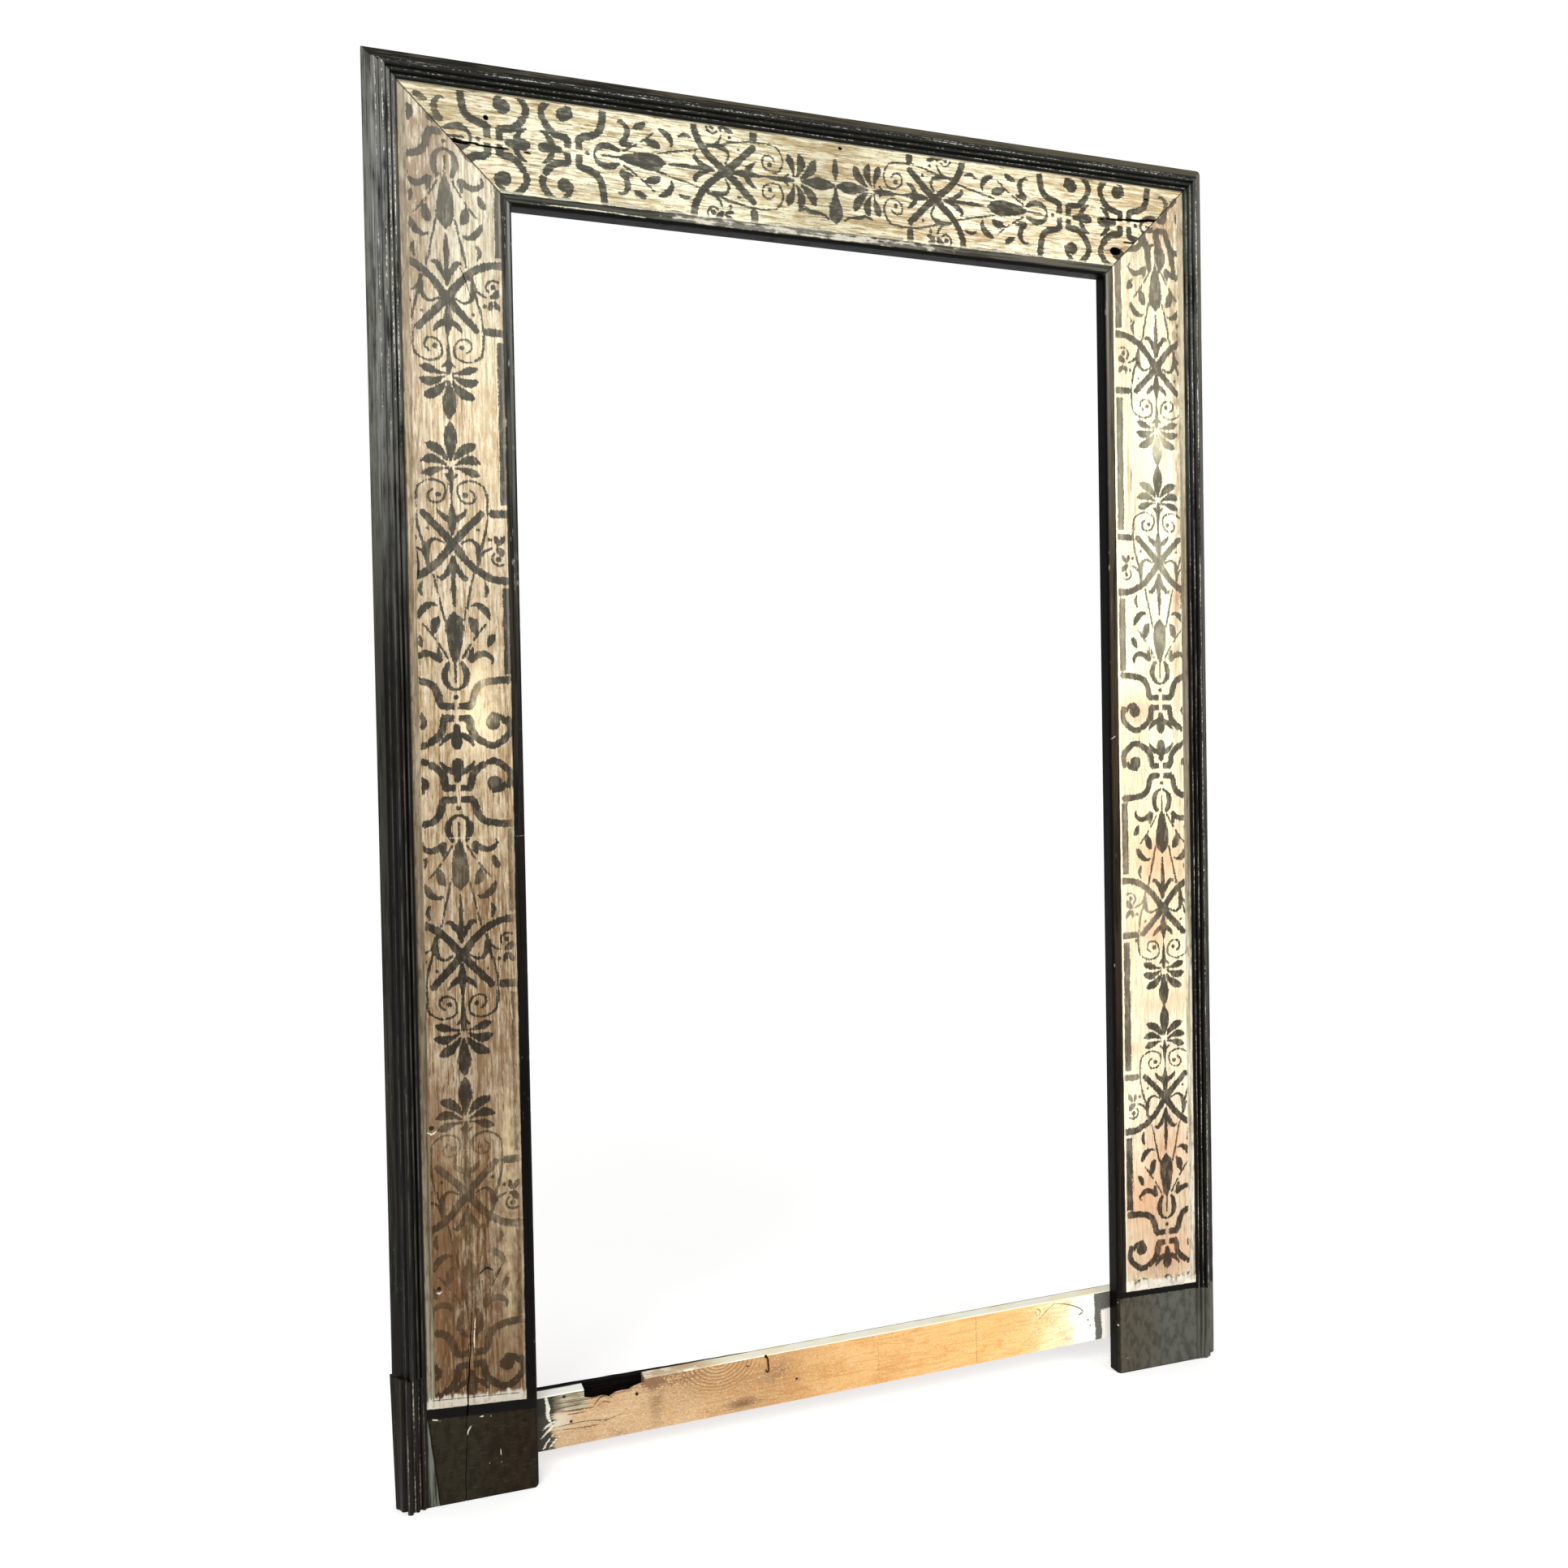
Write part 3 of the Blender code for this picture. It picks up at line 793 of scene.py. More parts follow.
    def _outer_strip(
        self, sheet: ShaderSheet, colour: Signal, across: Signal, share: Signal,
        grain_wide: Signal, mottle: Signal, bristle: Signal,
    ) -> Signal:
        """Return the colour with the plain strip beside the moulding."""
        if not self.strip_width:
            edge = across + mottle.swing(6)
            return sheet.coat(colour, edge.rise(171.5, 173.5) * 0.75, 70, 64, 50)
        start = BOARD_WIDTH / MILLIMETRE - self.strip_width
        edge = across + mottle.swing(3.0) + grain_wide.swing(2.0)
        strip = sheet.ramp(share, self.outer_strip)
        streaky = sheet.shade(strip, 176, 168, 150)
        strip = sheet.blend(grain_wide.rise(0.42, 0.6), strip, streaky)
        blotch = (mottle * 0.5 + bristle * 0.5).rise(0.49, 0.60)
        strip = sheet.blend(blotch * 0.55, strip, sheet.shade(strip, 150, 138, 116))
        cover = 0.92 - 0.35 * share.rise(0.66, 0.88)
        colour = sheet.blend(edge.rise(start - 0.7, start + 0.7) * cover, colour, strip)
        return sheet.coat(colour, edge.rise(172.6, 174.2) * 0.8, 38, 35, 28)

    def _border(
        self, sheet: ShaderSheet, colour: Signal, across: Signal, share: Signal,
        grain_wide: Signal, mottle: Signal,
    ) -> tuple[Signal, Signal]:
        """Return the colour with the dark border round the doorway and a painted highlight on its
        arris, and the border's share.
        """
        edge = across + mottle.swing(2.6) + grain_wide.swing(2.2)
        border = edge.fall(17.3, 18.5)
        primer = edge.within(18.2, 21.5, 0.8)
        colour = sheet.coat(colour, primer * self.primer, 240, 232, 206)
        paint = sheet.ramp(share, self.border)
        streaky = sheet.shade(paint, 150, 148, 142)
        paint = sheet.blend(grain_wide.rise(0.44, 0.6), paint, streaky)
        bleach = sheet.attribute("bleach")
        rubbed = (grain_wide * 0.6 + mottle * 0.5 + bleach * 0.2).rise(0.69, 0.78)
        paint = sheet.coat(paint, rubbed * 0.85, 200, 195, 178)
        # Painted highlight along the rounded arris, stronger further along the board.
        lit = (grain_wide * 0.5 + share * self.arris_highlight_rise + bleach * 0.1).rise(0.44, 0.62)
        paint = sheet.coat(paint, across.within(3.5, 7.5, 1.6) * lit * 0.5, 172, 168, 162)
        paint = sheet.coat(paint, across.fall(self.arris_black - 2.5, self.arris_black), 8, 7, 5)
        return sheet.blend(border, colour, paint), border * (1.0 - 0.6 * rubbed)

    def _foot(
        self, sheet: ShaderSheet, colour: Signal, black: Signal, along: Signal, across: Signal,
        grain_wide: Signal, mottle: Signal,
    ) -> tuple[Signal, Signal]:
        """Return the colour with the plinth, its black line and the pale strip above it."""
        plinth_top, pale_low, pale_high = self.foot_levels
        level = along - across * self.foot_tilt + mottle.swing(3.0)
        ragged = level + grain_wide.swing(24.0) + mottle.swing(24.0)
        inner = across.rise(17.0, 19.0)
        pale = ragged.fall(pale_high - 1.0, pale_high + 5.0) * inner
        colour = sheet.coat(colour, pale * self.foot_pale, 232, 226, 210)
        soot = (grain_wide * 0.4 + mottle * 0.6).rise(0.50, 0.60)
        drips = level.within(pale_low + 1.0, pale_high + 8.0, 3.0) * soot
        colour = sheet.coat(colour, drips * inner * 0.5, 112, 88, 60)
        line = level.fall(pale_low - 0.7, pale_low + 0.7)
        colour = sheet.coat(colour, line, 14, 12, 9)
        body = sheet.blend(across.rise(40.0, 120.0), self.plinth, self.plinth_outer)
        shaded = sheet.shade(body, 206, 204, 198)
        body = sheet.blend(mottle.rise(0.42, 0.62), body, shaded)
        brushed = sheet.noise((60, 60, 380), 8.8, 3, 0.5).rise(0.54, 0.70)
        body = sheet.coat(body, brushed * 0.07, 116, 110, 96)
        plinth = (level + grain_wide.swing(4.0)).fall(plinth_top - 0.9, plinth_top + 0.9)
        rim = across.rise(3.0, 6.0) * along.rise(0.5, 2.5)
        colour = sheet.blend(plinth * (0.25 + 0.75 * rim), colour, body)
        if self.plinth_edge:
            outside = (across - along * 0.108 - 158.5).rise(-0.8, 0.8)
            pale_edge = sheet.coat(self.plinth_edge, grain_wide.rise(0.50, 0.62), 44, 44, 36)
            colour = sheet.blend(plinth * outside * 0.9, colour, pale_edge)
        return colour, (black * (1.0 - line) + line * 0.7).at_most(1.0)

    def _mitre_line(self, sheet: ShaderSheet, colour: Signal, mottle: Signal) -> Signal:
        """Return the colour with grime gathered along the mitre."""
        gap = sheet.attribute("mitre")
        dirt = (gap + mottle.swing(5.0)).fall(0.3, 3.2)
        colour = sheet.coat(colour, dirt * 0.6, 74, 60, 42)
        return sheet.coat(colour, gap.fall(0.5, 1.3) * 0.85, 18, 14, 10)

    def _bare_back(
        self, sheet: ShaderSheet, grain_fine: Signal, grain_wide: Signal, mottle: Signal,
    ) -> Signal:
        """Return the colour of the unpainted back: old softwood with dust and dark grain."""
        wood = sheet.blend(grain_wide.rise(0.36, 0.64), swatch(124, 98, 68), swatch(166, 136, 98))
        wood = sheet.coat(wood, grain_fine.rise(0.52, 0.66) * 0.6, 82, 62, 42)
        return sheet.coat(wood, mottle.rise(0.54, 0.7) * 0.5, 92, 80, 64)


def mesh_points(mesh: bpy.types.Mesh) -> np.ndarray:
    """Return a mesh's points as rows of x, y and z."""
    points = np.empty(len(mesh.vertices) * 3)
    mesh.vertices.foreach_get("co", points)
    return points.reshape(-1, 3)


def set_mesh_points(mesh: bpy.types.Mesh, points: np.ndarray) -> None:
    """Give a mesh moved points."""
    mesh.vertices.foreach_set("co", points.ravel())
    mesh.update()


def add_attributes(mesh: bpy.types.Mesh, domain: str = "POINT", **columns: np.ndarray) -> None:
    """Store named floats for each point, or for each face, of a mesh."""
    for name, values in columns.items():
        attribute = mesh.attributes.new(name, "FLOAT", domain)
        attribute.data.foreach_set("value", np.asarray(values, np.float32))


def face_normals(mesh: bpy.types.Mesh) -> np.ndarray:
    """Return a mesh's face normals as rows."""
    normals = np.empty(len(mesh.polygons) * 3)
    mesh.polygons.foreach_get("normal", normals)
    return normals.reshape(-1, 3)


def smooth_noise(points: np.ndarray, stretch: Place, seed: float) -> np.ndarray:
    """Return smooth noise from -1 to 1 at each point.

    Args:
        points: rows of x, y and z in metres.
        stretch: scales per metre along each axis.
        seed: an offset that sets one noise apart from the next.

    Returns:
        One value for each row.
    """
    spots = points * np.array(stretch) + seed
    return np.array([noise.noise(Vector(spot)) for spot in spots])


def swept_bar(
    start: list[Place], end: list[Place], axis: int, cuts: tuple[int, ...],
) -> bmesh.types.BMesh:
    """Build a closed bar between two rings and cut it into many short lengths.

    Args:
        start: the first ring's corners, in order.
        end: the last ring's corners, in the same order.
        axis: the axis that the bar runs along.
        cuts: cuts across the bar's long edges, one round after another.

    Returns:
        The bar, with its long edges cut and its two ends closed.
    """
    builder = bmesh.new()
    for corners in (start, end):
        builder.faces.new([builder.verts.new(corner) for corner in corners])
    bmesh.ops.bridge_loops(builder, edges=list(builder.edges))
    for count in cuts:
        bmesh.ops.subdivide_edges(
            builder, edges=long_edges(builder, axis), cuts=count, use_grid_fill=True,
        )
    bmesh.ops.recalc_face_normals(builder, faces=builder.faces)
    return builder


def long_edges(builder: bmesh.types.BMesh, axis: int) -> list[bmesh.types.BMEdge]:
    """Return the edges that run along a bar's axis."""
    chosen = []
    for edge in builder.edges:
        run = edge.verts[1].co - edge.verts[0].co
        if abs(run[axis]) > 0.95 * run.length:
            chosen.append(edge)
    return chosen


def finished(
    name: str, mesh: bpy.types.Mesh, material: bpy.types.Material, sharp: float,
) -> bpy.types.Object:
    """Turn a finished mesh into a smooth-shaded object at the origin.

    Args:
        name: the piece's name.
        mesh: its mesh, already in place.
        material: its finish.
        sharp: the angle in degrees past which an edge stays sharp.

    Returns:
        The new object.
    """
    mesh.name = name
    mesh.materials.append(material)
    mesh.polygons.foreach_set("use_smooth", np.ones(len(mesh.polygons), bool))
    mesh.set_sharp_from_angle(angle=math.radians(sharp))
    piece = bpy.data.objects.new(name, mesh)
    bpy.context.scene.collection.objects.link(piece)
    return piece


def installed(piece: bpy.types.Object, node: str | None) -> None:
    """Make a piece ride with the surround, stand for its node and log its triangles."""
    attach(piece, "root")
    if node:
        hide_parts(node)
    piece.data.calc_loop_triangles()
    log.info("%s: %d triangles", piece.name, len(piece.data.loop_triangles))


def as_mesh(builder: bmesh.types.BMesh) -> bpy.types.Mesh:
    """Turn a bmesh into a mesh and free it."""
    mesh = bpy.data.meshes.new("draft")
    builder.to_mesh(mesh)
    builder.free()
    return mesh


@dataclass
class Board:
    """A wide painted board: its section, its splits and its paint layout."""

    node: str
    finish: BoardFinish
    registration: Registration
    splits: tuple[Split, ...] = ()
    knots: tuple[Knot, ...] = ()
    fades: tuple[Patch, ...] = ()
    stains: tuple[Patch, ...] = ()
    # Patches of pale wear and of painted sheen.
    sheen_and_wear_patches: tuple[Patch, ...] = ()
    grimes: tuple[Patch, ...] = ()
    scars: tuple[Stroke, ...] = ()
    scratches: tuple[Stroke, ...] = ()
    seed: int = 1
    cuts: tuple[int, ...] = (24, 39)
    field_step: float = 0.0020
    chips: int = 26

    def section(self) -> list[Point]:
        """Return the board's section as (across, y), round from the outer front edge."""
        border, strip = 0.019, 0.161
        columns = [BOARD_WIDTH, 0.173, 0.171, 0.169, 0.167, 0.165, 0.163]
        steps = round((strip - border) / self.field_step)
        columns += [strip + (border - strip) * step / steps for step in range(steps + 1)]
        columns += [0.016, 0.013, 0.010]
        points = [(across, -BOARD_THICKNESS) for across in columns]
        arris_steps = 6
        for step in range(arris_steps + 1):
            angle = math.pi / 2 * step / arris_steps
            points.append((
                ARRIS_RADIUS * (1 - math.sin(angle)),
                -BOARD_THICKNESS + ARRIS_RADIUS * (1 - math.cos(angle)),
            ))
        points += [(0.0, -0.015), (0.0, -0.007), (0.0, 0.0)]
        points += [(BOARD_WIDTH / 2, 0.0), (BOARD_WIDTH, 0.0), (BOARD_WIDTH, -0.015)]
        return points

    def ends(self) -> tuple[list[Place], list[Place]]:
        """Return the section placed at the board's two ends."""
        raise NotImplementedError

    def layout(self, points: np.ndarray) -> tuple[np.ndarray, np.ndarray, np.ndarray]:
        """Return places along and across the board and distances to its mitre, in millimetres."""
        raise NotImplementedError

    def wear_ends(self, points: np.ndarray) -> None:
        """Move the points of worn corners; a board has none unless it says so."""

    @property
    def along_axis(self) -> int:
        """Return the axis that the board runs along."""
        return self.finish.grain.axis

    def refine(self, builder: bmesh.types.BMesh) -> None:
        """Cut the mesh finer beside the splits and round the lost knots."""
        axis = self.along_axis
        for split in self.splits:
            chosen = []
            for edge in builder.edges:
                first, second = (vert.co for vert in edge.verts)
                if min(first.y, second.y) > -BOARD_THICKNESS + 1e-4 or first.y != second.y:
                    continue
                if abs(first[axis] - second[axis]) < 0.0008 and self._near(split, first, 4.5):
                    chosen.append(edge)
            bmesh.ops.subdivide_edges(builder, edges=chosen, cuts=3, use_grid_fill=True)
        for knot in self.knots:
            chosen = [
                edge for edge in builder.edges
                if all(vert.co.y < -BOARD_THICKNESS + 1e-4 for vert in edge.verts)
                and self._near(knot, edge.verts[0].co, 4.0)
            ]
            bmesh.ops.subdivide_edges(builder, edges=chosen, cuts=2, use_grid_fill=True)

    def _near(self, damage: Split | Knot, point: Vector, margin: float) -> bool:
        """Tell whether a point of the face is within a margin of some damage."""
        along, across, _ = self.layout(np.array([point]))
        return damage.near(float(along[0]), float(across[0]), margin)

    def shape(self) -> bpy.types.Mesh:
        """Build the board's mesh with its relief, splits, chips and attributes.

        Returns:
            The mesh, in place.
        """
        start, end = self.ends()
        builder = swept_bar(start, end, self.along_axis, self.cuts)
        self.refine(builder)
        mesh = as_mesh(builder)
        points = mesh_points(mesh)
        self.wear_ends(points)
        along, across, mitre = self.layout(points)
        depth = -points[:, 1] / MILLIMETRE
        front = depth > BOARD_THICKNESS / MILLIMETRE - 0.1
        arris_back, arris_out = 22.9, 7.1
        arris = (depth > arris_back) & (across < arris_out)
        cut = np.zeros(len(points))
        for damage in (*self.splits, *self.knots):
            cut = np.maximum(cut, damage.cut(along, across))
        cut = np.where(front, cut, 0.0)
        stretch = self.finish.grain.stretch(26, 5)
        waves = 0.18 * (1 + smooth_noise(points, stretch, 3.7 * self.seed))
        grooves = 0.14 * (1 + smooth_noise(points, self.finish.grain.stretch(210, 9), self.seed))
        press = np.where(front | arris, waves + grooves, 0.0) + cut
        chipped = self.chip_depth(along, across)
        press += np.where(front | arris, chipped, 0.0)
        press += np.where(front, 0.5 * np.clip(1 - mitre / 1.6, 0, 1), 0.0)
        points[:, 1] += press * MILLIMETRE
        set_mesh_points(mesh, points)
        add_attributes(
            mesh, along=along, across=across, mitre=mitre, gash=cut / 2.0,
            stencil=self.registration.depth(along, across),
            fade=patch_sum(self.fades, along, across),
            stain=patch_sum(self.stains, along, across),
            bleach=patch_sum(self.sheen_and_wear_patches, along, across) + 0.5 * chipped,
            grime=patch_sum(self.grimes, along, across),
            scar=stroke_depth(self.scars, along, across),
            scratch=stroke_depth(self.scratches, along, across),
        )
        add_attributes(mesh, "FACE", side=self.sides(mesh))
        return mesh

    def chip_depth(self, along: np.ndarray, across: np.ndarray) -> np.ndarray:
        """Return the depth of the small chips along the doorway arris, in millimetres."""
        draws = np.random.default_rng(self.seed)
        low, high = float(along.min()), float(along.max())
        depth = np.zeros(len(along))
        for _ in range(self.chips):
            middle = draws.uniform(low, high)
            half = draws.uniform(3, 12)
            deep = draws.uniform(0.4, 1.3)
            reach = draws.uniform(3, 7)
            bite = 1 - ((along - middle) / half) ** 2 - ((across - 1.5) / reach) ** 2
            depth = np.maximum(depth, deep * np.clip(bite, 0, 1))
        return depth

    def sides(self, mesh: bpy.types.Mesh) -> np.ndarray:
        """Return each face's side: front, doorway edge, or bare on back, ends and outer edge."""
        normals = face_normals(mesh)
        centres = np.empty(len(mesh.polygons) * 3)
        mesh.polygons.foreach_get("center", centres)
        centres = centres.reshape(-1, 3)
        _, across, _ = self.layout(centres)
        result = np.full(len(normals), BARE)
        result[(across < 0.6) & (normals[:, 1] < 0.5)] = EDGE
        deep_in = (centres[:, 1] < -0.002) & (across > 0.5) & (across < 174.5)
        flat_end = np.abs(normals[:, self.along_axis]) > 0.6
        bare_end = flat_end & (normals[:, 1] > -0.1) & (centres[:, 1] > -0.020)
        result[deep_in & ~bare_end] = FRONT
        return result

    def make(self) -> bpy.types.Object:
        """Build, dress and install the board."""
        piece = finished(f"{self.node}_painted", self.shape(), self.finish.dress(), 38)
        installed(piece, self.node)
        return piece


@dataclass
class JambBoard(Board):
    """An upright board of the surround."""

    hand: int = 1
    corner_radius: float = 0.0

    def wear_ends(self, points: np.ndarray) -> None:
        """Round the doorway corner at the foot, where the board is worn."""
        radius = self.corner_radius
        rise = points[:, 2] - FLOOR_Z
        across = self.hand * points[:, 0] - HALF_OPENING
        gap = np.hypot(rise - radius, across - radius)
        worn = (rise < radius) & (across < radius) & (gap > radius)
        pull = np.where(worn, 1 - radius / np.maximum(gap, 1e-9), 0.0)
        points[:, 2] += pull * (radius - rise)
        points[:, 0] += self.hand * pull * (radius - across)

    def ends(self) -> tuple[list[Place], list[Place]]:
        """Return the section on the floor and at the mitre."""
        low, high = [], []
        for across, y in self.section():
            x = self.hand * (HALF_OPENING + across)
            low.append((x, y, FLOOR_Z))
            high.append((x, y, SOFFIT_Z + across - MITRE_SETBACK))
        return low, high

    def layout(self, points: np.ndarray) -> tuple[np.ndarray, np.ndarray, np.ndarray]:
        """Return heights above the floor, reach from the doorway and distances to the mitre."""
        along = (points[:, 2] - FLOOR_Z) / MILLIMETRE
        across = (self.hand * points[:, 0] - HALF_OPENING) / MILLIMETRE
        return along, across, OPENING_HEIGHT / MILLIMETRE + across - along


@dataclass
class HeadBoard(Board):
    """The board over the doorway."""

    def ends(self) -> tuple[list[Place], list[Place]]:
        """Return the section at the left mitre and at the right one."""
        left, right = [], []
        for across, y in self.section():
            reach = HALF_OPENING + across - MITRE_SETBACK
            left.append((-reach, y, SOFFIT_Z + across))
            right.append((reach, y, SOFFIT_Z + across))
        return left, right

    def layout(self, points: np.ndarray) -> tuple[np.ndarray, np.ndarray, np.ndarray]:
        """Return places along X, rises above the soffit and distances to the nearer mitre."""
        along = points[:, 0] / MILLIMETRE
        across = (points[:, 2] - SOFFIT_Z) / MILLIMETRE
        return along, across, HALF_OPENING / MILLIMETRE + across - np.abs(along)


@dataclass(frozen=True)
class MouldingSection:
    """The stepped section of the moulding; widths run outwards, heights stand proud."""

    width: float = 0.051
    groove: float = 0.0012
    inner_radius: float = 0.0034
    middle_radius: float = 0.0029
    middle_rise: float = 0.0042
    nose_radius: float = 0.0046
    nose_rise: float = 0.0074
    ledge_drop: float = 0.0015
    ledge_width: float = 0.0062
    ogee_width: float = 0.0070
    ogee_drop: float = 0.0110
    band_slope: float = 0.0025
    arris: float = 0.0015
    segments: int = 10

    @staticmethod
    def arc(centre: Point, radius: float, start: float, end: float, segments: int) -> list[Point]:
        """Return points along an arc between two angles in degrees."""
        points = []
        for step in range(segments + 1):
            angle = math.radians(start + (end - start) * step / segments)
            points.append((
                centre[0] + radius * math.cos(angle), centre[1] + radius * math.sin(angle),
            ))
        return points

    @staticmethod
    def line(start: Point, end: Point, parts: int) -> list[Point]:
        """Return the points that cut a straight run into parts, without its start."""
        return [
            (start[0] + (end[0] - start[0]) * step / parts,
             start[1] + (end[1] - start[1]) * step / parts)
            for step in range(1, parts + 1)
        ]

    def outline(self) -> list[Point]:
        """Return the section as (outward, proud) pairs, back edge included."""
        points = [(0.0, 0.0)]
        inner = self.groove + self.inner_radius
        points += self.arc((inner, 0.0), self.inner_radius, 180, 0, self.segments)
        middle = inner + self.inner_radius + self.groove
        points.append((middle, self.middle_rise - self.middle_radius))
        points += self.arc(
            (middle + self.middle_radius, self.middle_rise), self.middle_radius, 150, 15,
            self.segments,
        )
        nose = middle + 2 * self.middle_radius + self.groove
        points.append((nose, self.nose_rise - self.nose_radius / 2))
        points += self.arc(
            (nose + self.nose_radius, self.nose_rise), self.nose_radius, 150, 0, self.segments,
        )
        ledge = (nose + 2 * self.nose_radius, -self.ledge_drop)
        ledge_end = (ledge[0] + self.ledge_width, -self.ledge_drop)
        points += self.line(points[-1], ledge, 3) + self.line(ledge, ledge_end, 3)
        for step in range(1, self.segments + 1):
            share = step / self.segments
            fall = (1 - math.cos(math.pi * share)) / 2
            points.append((
                ledge_end[0] + self.ogee_width * share, ledge_end[1] - self.ogee_drop * fall,
            ))
        low = points[-1][1] - self.band_slope
        corner = (self.width - self.arris, low - self.arris)
        points += self.line(points[-1], (corner[0], low), 5)[:-1]
        points += self.arc(corner, self.arris, 90, 0, 3)
        points += self.line(points[-1], (self.width, -BOARD_THICKNESS), 4)
        points += self.line(points[-1], (0.0, -BOARD_THICKNESS), 4)
        return points


@dataclass(frozen=True)
class MouldingFinish:
    """Colours, wear and painted highlights of one length of the black moulding."""

    name: str
    grain: Grain
    black: Colour
    # The crests' colour: rubbed paint and painted highlight.
    rib: Colour
    band: Colour
    # Strength of the painted glints.
    painted_gleam: float
    wear: float
    worn: Colour = swatch(96, 92, 84)
    start: float = 0.0
    length: float = 2308.0
    painted_gleam_from: float = 0.0
    painted_gleam_to: float = 1.0
    grey: Colour | None = None
    grey_from: float = 0.6
    foot: Colour | None = None
    foot_top: float = 138.0
    slot: str = "black_moulding"

    def dress(self) -> bpy.types.Material:
        """Build the moulding's material from its outward and along attributes."""
        sheet = ShaderSheet(self.name)
        outward = sheet.attribute("outward")
        along = sheet.attribute("along")
        share = (along - self.start) / self.length
        streak = sheet.noise(self.grain.stretch(420, 9), 2.3, 5, 0.62)
        patch = sheet.noise(self.grain.stretch(60, 14), 6.1, 6, 0.6)
        fleck = sheet.noise(self.grain.stretch(520, 190), 4.7, 4, 0.6)
        deep = sheet.shade(self.black, 170, 176, 160)
        colour = sheet.blend(patch.rise(0.42, 0.62), self.black, deep)
        if self.grey:
            # Greyer towards the top end of the length.
            greyer_towards_top = share.rise(self.grey_from, self.grey_from + 0.25)
            greyer_towards_top = greyer_towards_top * (streak * 0.55 + patch * 0.5).rise(0.40, 0.60)
            greyer_towards_top = greyer_towards_top * (0.55 + 0.45 * outward.rise(24.0, 44.0))
            colour = sheet.blend(greyer_towards_top, colour, self.grey)
        ribs = (
            outward.within(3.9, 5.4, 0.7) + outward.within(11.2, 13.0, 0.8)
            + outward.within(19.4, 21.8, 1.0) + outward.within(30.0, 31.4, 0.8)
        )
        # The crests of the ribs turn lighter: rubbed wear, and painted highlight along them.
        rubbed = ribs * (streak + patch.swing(0.8)).rise(0.40, 0.58)
        colour = sheet.blend(rubbed * self.wear, colour, self.rib)
        # Painted glints: white highlights of the glossy paint on the ribs, over part of the length
        # only.
        painted_glint_span = share.within(self.painted_gleam_from, self.painted_gleam_to, 0.02)
        painted_glints = ribs * (fleck * 0.5 + streak * 0.5).rise(0.52, 0.60) * painted_glint_span
        colour = sheet.coat(colour, painted_glints * self.painted_gleam, 224, 222, 214)
        outer = outward.rise(37.8, 39.4)
        dusty = outer * (streak * 0.6 + patch * 0.3 + share * 0.22).rise(0.44, 0.62)
        colour = sheet.blend(dusty * self.wear, colour, self.band)
        chips = (fleck * 0.6 + patch * 0.5).rise(0.66, 0.72)
        colour = sheet.blend(chips * self.wear * 0.6, colour, self.worn)
        # Painted shade in the grooves of the moulding, with some dust: a dark line in each groove.
        groove_shade = (
            outward.within(-1.0, 0.9, 0.5) + outward.within(8.1, 9.4, 0.5)
            + outward.within(15.2, 16.4, 0.5) + outward.within(25.2, 26.0, 0.5)
        )
        if self.foot:
            shaded = sheet.shade(self.foot, 216, 212, 204)
            paint = sheet.blend(patch.rise(0.42, 0.6), self.foot, shaded)
            level = along + patch.swing(6.0)
            painted = level.fall(self.foot_top - 1.5, self.foot_top)
            colour = sheet.blend(painted, colour, paint)
            groove_shade = groove_shade * (1.0 - 0.6 * painted)
        colour = sheet.coat(colour, groove_shade.at_most(1.0) * 0.8, 9, 8, 7)
        side = sheet.attribute("side")
        bare = sheet.blend(streak.rise(0.4, 0.6), swatch(112, 88, 60), swatch(150, 122, 86))
        bare = sheet.coat(bare, patch.rise(0.5, 0.7) * 0.6, 70, 58, 44)
        colour = sheet.blend(side.rise(0.5, 0.6), colour, bare)
        dull = 0.34 + (patch - 0.45) * 0.6 + dusty * 0.25 + side.rise(0.5, 0.6) * 0.4
        return sheet.finish(colour, dull, streak * 0.8 + fleck * 0.4, 0.0008, 0.13)


